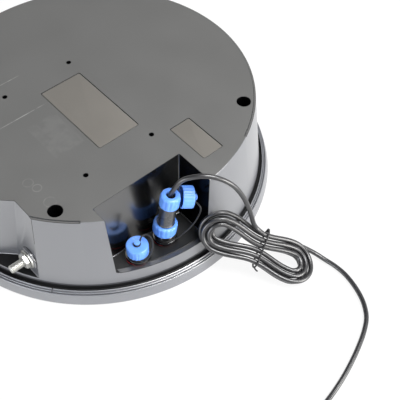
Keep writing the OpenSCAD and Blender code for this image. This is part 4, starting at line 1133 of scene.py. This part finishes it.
# %% Button and lenses
button = turned([(0, 1.6), (5.6, 1.15, 1.5), (7.0, 0.9, 0.4), (8, 0.9, 0.5), (8, 5.6), (10, 5.6, 0.2),
                 (10, 6.8, 0.2), (3, 6.8), (3, 14.8, 0.4), (0, 14.8)])
button = solid("dished_button", button, blue_nylon, Matrix.Translation((*button_spot, 0)))
settle(button, "power_button", "blue_plastic", "power_button")
dome = [(0, 1.5), (1.6, 1.5, 0.6), (2.5, 2.2, 0.5), (2.5, 5.5), (3.7, 5.5, 0.2), (3.7, 6.7, 0.2), (0, 6.7)]
lenses = joined(*(moved(turned(dome, 48), (*spot, 0)) for spot in lamps))
settle(solid("lamp_lenses", lenses, lens_resin), "base", "lens_clear", "status_lenses")

# %% [markdown]
# ## Inside
#
# Nothing inside shows, but the parts are there when the drum is opened. The pulse transformer's coil is
# wound wire, so each turn is drawn as a closed line round a core former. The other CAD shapes are right
# as they are and only get a finish.

# %% Coil
enamelled_copper = finish("enamelled_copper", 0.3, None, ("#c9773f", "#b0632f"), 3, (0.24, 0.38),
                          metallic=1.0)
lowest, highest = (corner / MM for corner in map(Vector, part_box("transformer_winding")))
limb_low, limb_high = (corner / MM for corner in map(Vector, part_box("transformer_core")))
mid = (lowest + highest) / 2
wide, long, tall = highest - lowest
wire_turns, bend_r = 18, 4
wire_r = tall / (2 * wire_turns)
former = slab(mid.x, mid.y, wide - 2 * wire_r, long - 2 * wire_r, lowest.z, highest.z, 3)
coil = solid("wound_coil", former, enamelled_copper)
limb = block((mid.x - 8.1, limb_low.y - 0.1, lowest.z - 1), (mid.x + 8.1, limb_high.y + 0.1, highest.z + 1))
carve(coil, solid("limb", limb, enamelled_copper))
wires = []
for i in range(wire_turns):
    height = lowest.z + (2 * i + 1) * wire_r
    turn = [Vector((mid.x + sx * (wide / 2 - bend_r) + (bend_r - wire_r) * math.cos(a),
                    mid.y + sy * (long / 2 - bend_r) + (bend_r - wire_r) * math.sin(a), height))
            for sx, sy, first in ((1, 1, 0), (-1, 1, 90), (-1, -1, 180), (1, -1, 270))
            for a in (math.radians(first + 22.5 * k) for k in range(5))]
    wires.append(tube("turn", turn, wire_r, enamelled_copper, sides=1, closed=True))
settle(merged(coil, *wires), "base", "copper", "transformer_winding", sharp=50)

# %% Board and core
# Solder mask over glass fibre board: green, with paler lines where the copper tracks run under it.
solder_mask, tree, shader, where = start("solder_mask_green", 0.3, 1.55)
tracks = add(tree, "ShaderNodeTexBrick", {
    "Vector": where, "Color1": linear("#1c5a37"), "Color2": linear("#1a5233"), "Mortar": linear("#2d7b4c"),
    "Scale": 1 / (14 * MM), "Mortar Size": 0.03})
tree.links.new(tracks.outputs["Color"], shader.inputs["Base Color"])
# Stacked steel sheets: fine stripes, drawn 1 mm wide.
laminated_steel, tree, shader, where = start("laminated_steel", 0.42, metallic=1.0)
stripes = add(tree, "ShaderNodeTexWave", {"Vector": where, "Scale": 1 / (2 * math.pi * MM)},
              bands_direction="Y")
tone = add(tree, "ShaderNodeMix", {"Factor": stripes.outputs["Fac"], 6: linear("#5a5b5e"),
                                   7: linear("#85878a")}, data_type="RGBA")
tree.links.new(tone.outputs[2], shader.inputs["Base Color"])
print(solder_mask.name, laminated_steel.name)

# %% Finishes inside
shrink_sleeve = finish("pvc_sleeve_blue", 0.3, 1.53, ("#3d6fae", "#335f9a"), 8, (0.24, 0.36))
red_silicone_lead = finish("silicone_lead_red", 0.42, 1.43, ("#b23a36", "#98302d"), 6, (0.36, 0.5))
gilt_brass = finish("gilt_brass", 0.22, None, ("#e0b765", "#cda250"), 2, (0.16, 0.3), metallic=1.0)
dressed = {
    soft_rubber: ("rim_seal", "battery_cap_seal", "loose_cap_seal", "cord_grommet"),
    zinc_steel: ("housing_screws", "board_screws", "fence_inner_nuts", "earth_inner_nuts"),
    black_nylon: ("button_switch", "socket_rear_nuts"), pvc_cord: ("supply_leads",),
    solder_mask: ("main_board",), laminated_steel: ("transformer_core",),
    shrink_sleeve: ("storage_capacitors",), red_silicone_lead: ("output_leads",),
    gilt_brass: ("contact_pins",)}
for material, names in dressed.items():
    for name in names:
        for place in nodes[name].material_slots:
            place.material = material
print("dressed", sum(map(len, dressed.values())), "CAD nodes")

# %% [markdown]
# ## Floor and light
#
# The picture shows the object on plain white. The floor is a matt white board that also shines by itself,
# but only for the camera and for mirror-like rays, so the paper stays white, the gloss on the plastic has
# something to show, and the object is lit at a plain level. Soft shadows stay, because part of the board
# is ordinary matt paint. The room is white all round at eye level and darker overhead, and its light on
# matt surfaces is weaker than what shows. Three soft lamps give the walls their shine.

# %% White board
def shown_directly(tree):
    """1 for rays from the camera, from a mirror-like face or through clear plastic, and 0 for the rest."""
    path = add(tree, "ShaderNodeLightPath")
    seen = path.outputs["Is Camera Ray"]
    for kind in ("Is Glossy Ray", "Is Transmission Ray"):
        seen = add(tree, "ShaderNodeMath", {0: seen, 1: path.outputs[kind]}, operation="MAXIMUM").outputs[0]
    return seen


board_paint = bpy.data.materials.new("white_board")
board_paint.use_nodes = True
tree = board_paint.node_tree
paint = tree.nodes["Principled BSDF"]
paint.inputs["Base Color"].default_value = linear("#f4f4f4")
paint.inputs["Roughness"].default_value = 0.9
share = add(tree, "ShaderNodeMath", {0: shown_directly(tree), 1: 0.9}, operation="MULTIPLY")
glow = add(tree, "ShaderNodeEmission", {"Color": (1, 1, 1, 1), "Strength": 1.0})
mixed = add(tree, "ShaderNodeMixShader", {0: share.outputs[0], 1: paint.outputs[0], 2: glow.outputs[0]})
tree.links.new(mixed.outputs[0], tree.nodes["Material Output"].inputs["Surface"])
bm = bmesh.new()
bmesh.ops.create_grid(bm, x_segments=2, y_segments=2, size=2000)
floor = solid("white_board", bm, board_paint, Matrix.Translation((0, 0, -0.3)))
print("board", floor.dimensions.x, "m wide")

# %% White room
world = bpy.data.worlds.new("white_room")
bpy.context.scene.world = world
world.use_nodes = True
tree = world.node_tree
share = add(tree, "ShaderNodeMapRange", {"Value": shown_directly(tree), "To Min": 0.55, "To Max": 1.0})
way = add(tree, "ShaderNodeSeparateXYZ", {0: add(tree, "ShaderNodeTexCoord").outputs["Generated"]})
sky = add(tree, "ShaderNodeMapRange", {"Value": way.outputs["Z"], "From Min": 0.15, "From Max": 0.6,
                                       "To Min": 1.0, "To Max": 0.16})
level = add(tree, "ShaderNodeMath", {0: sky.outputs["Result"], 1: share.outputs["Result"]},
            operation="MULTIPLY")
tree.links.new(level.outputs[0], tree.nodes["Background"].inputs["Strength"])
tree.nodes["Background"].inputs["Color"].default_value = (1, 1, 1, 1)
print("room", world.name)


# %% Lamps
def lamp(name, spot, power, size, tint):
    """A soft square lamp that looks at the middle of the object."""
    light = bpy.data.lights.new(name, "AREA")
    light.energy = power
    light.color = linear(tint)[:3]
    light.size = size
    obj = bpy.data.objects.new(name, light)
    way = Vector((0.05, 0, 0.03)) - Vector(spot)
    obj.matrix_world = Matrix.Translation(spot) @ way.to_track_quat("-Z", "Y").to_matrix().to_4x4()
    bpy.context.scene.collection.objects.link(obj)
    print(name, power, "W")


lamp("top_lamp", (0.6, 0.3, 1.25), 24, 0.6, "#ffffff")
lamp("right_lamp", (1.25, 0.5, 0.35), 20, 0.7, "#fffdfa")
lamp("front_lamp", (0.2, -1.3, 0.4), 10, 0.7, "#f4f8ff")
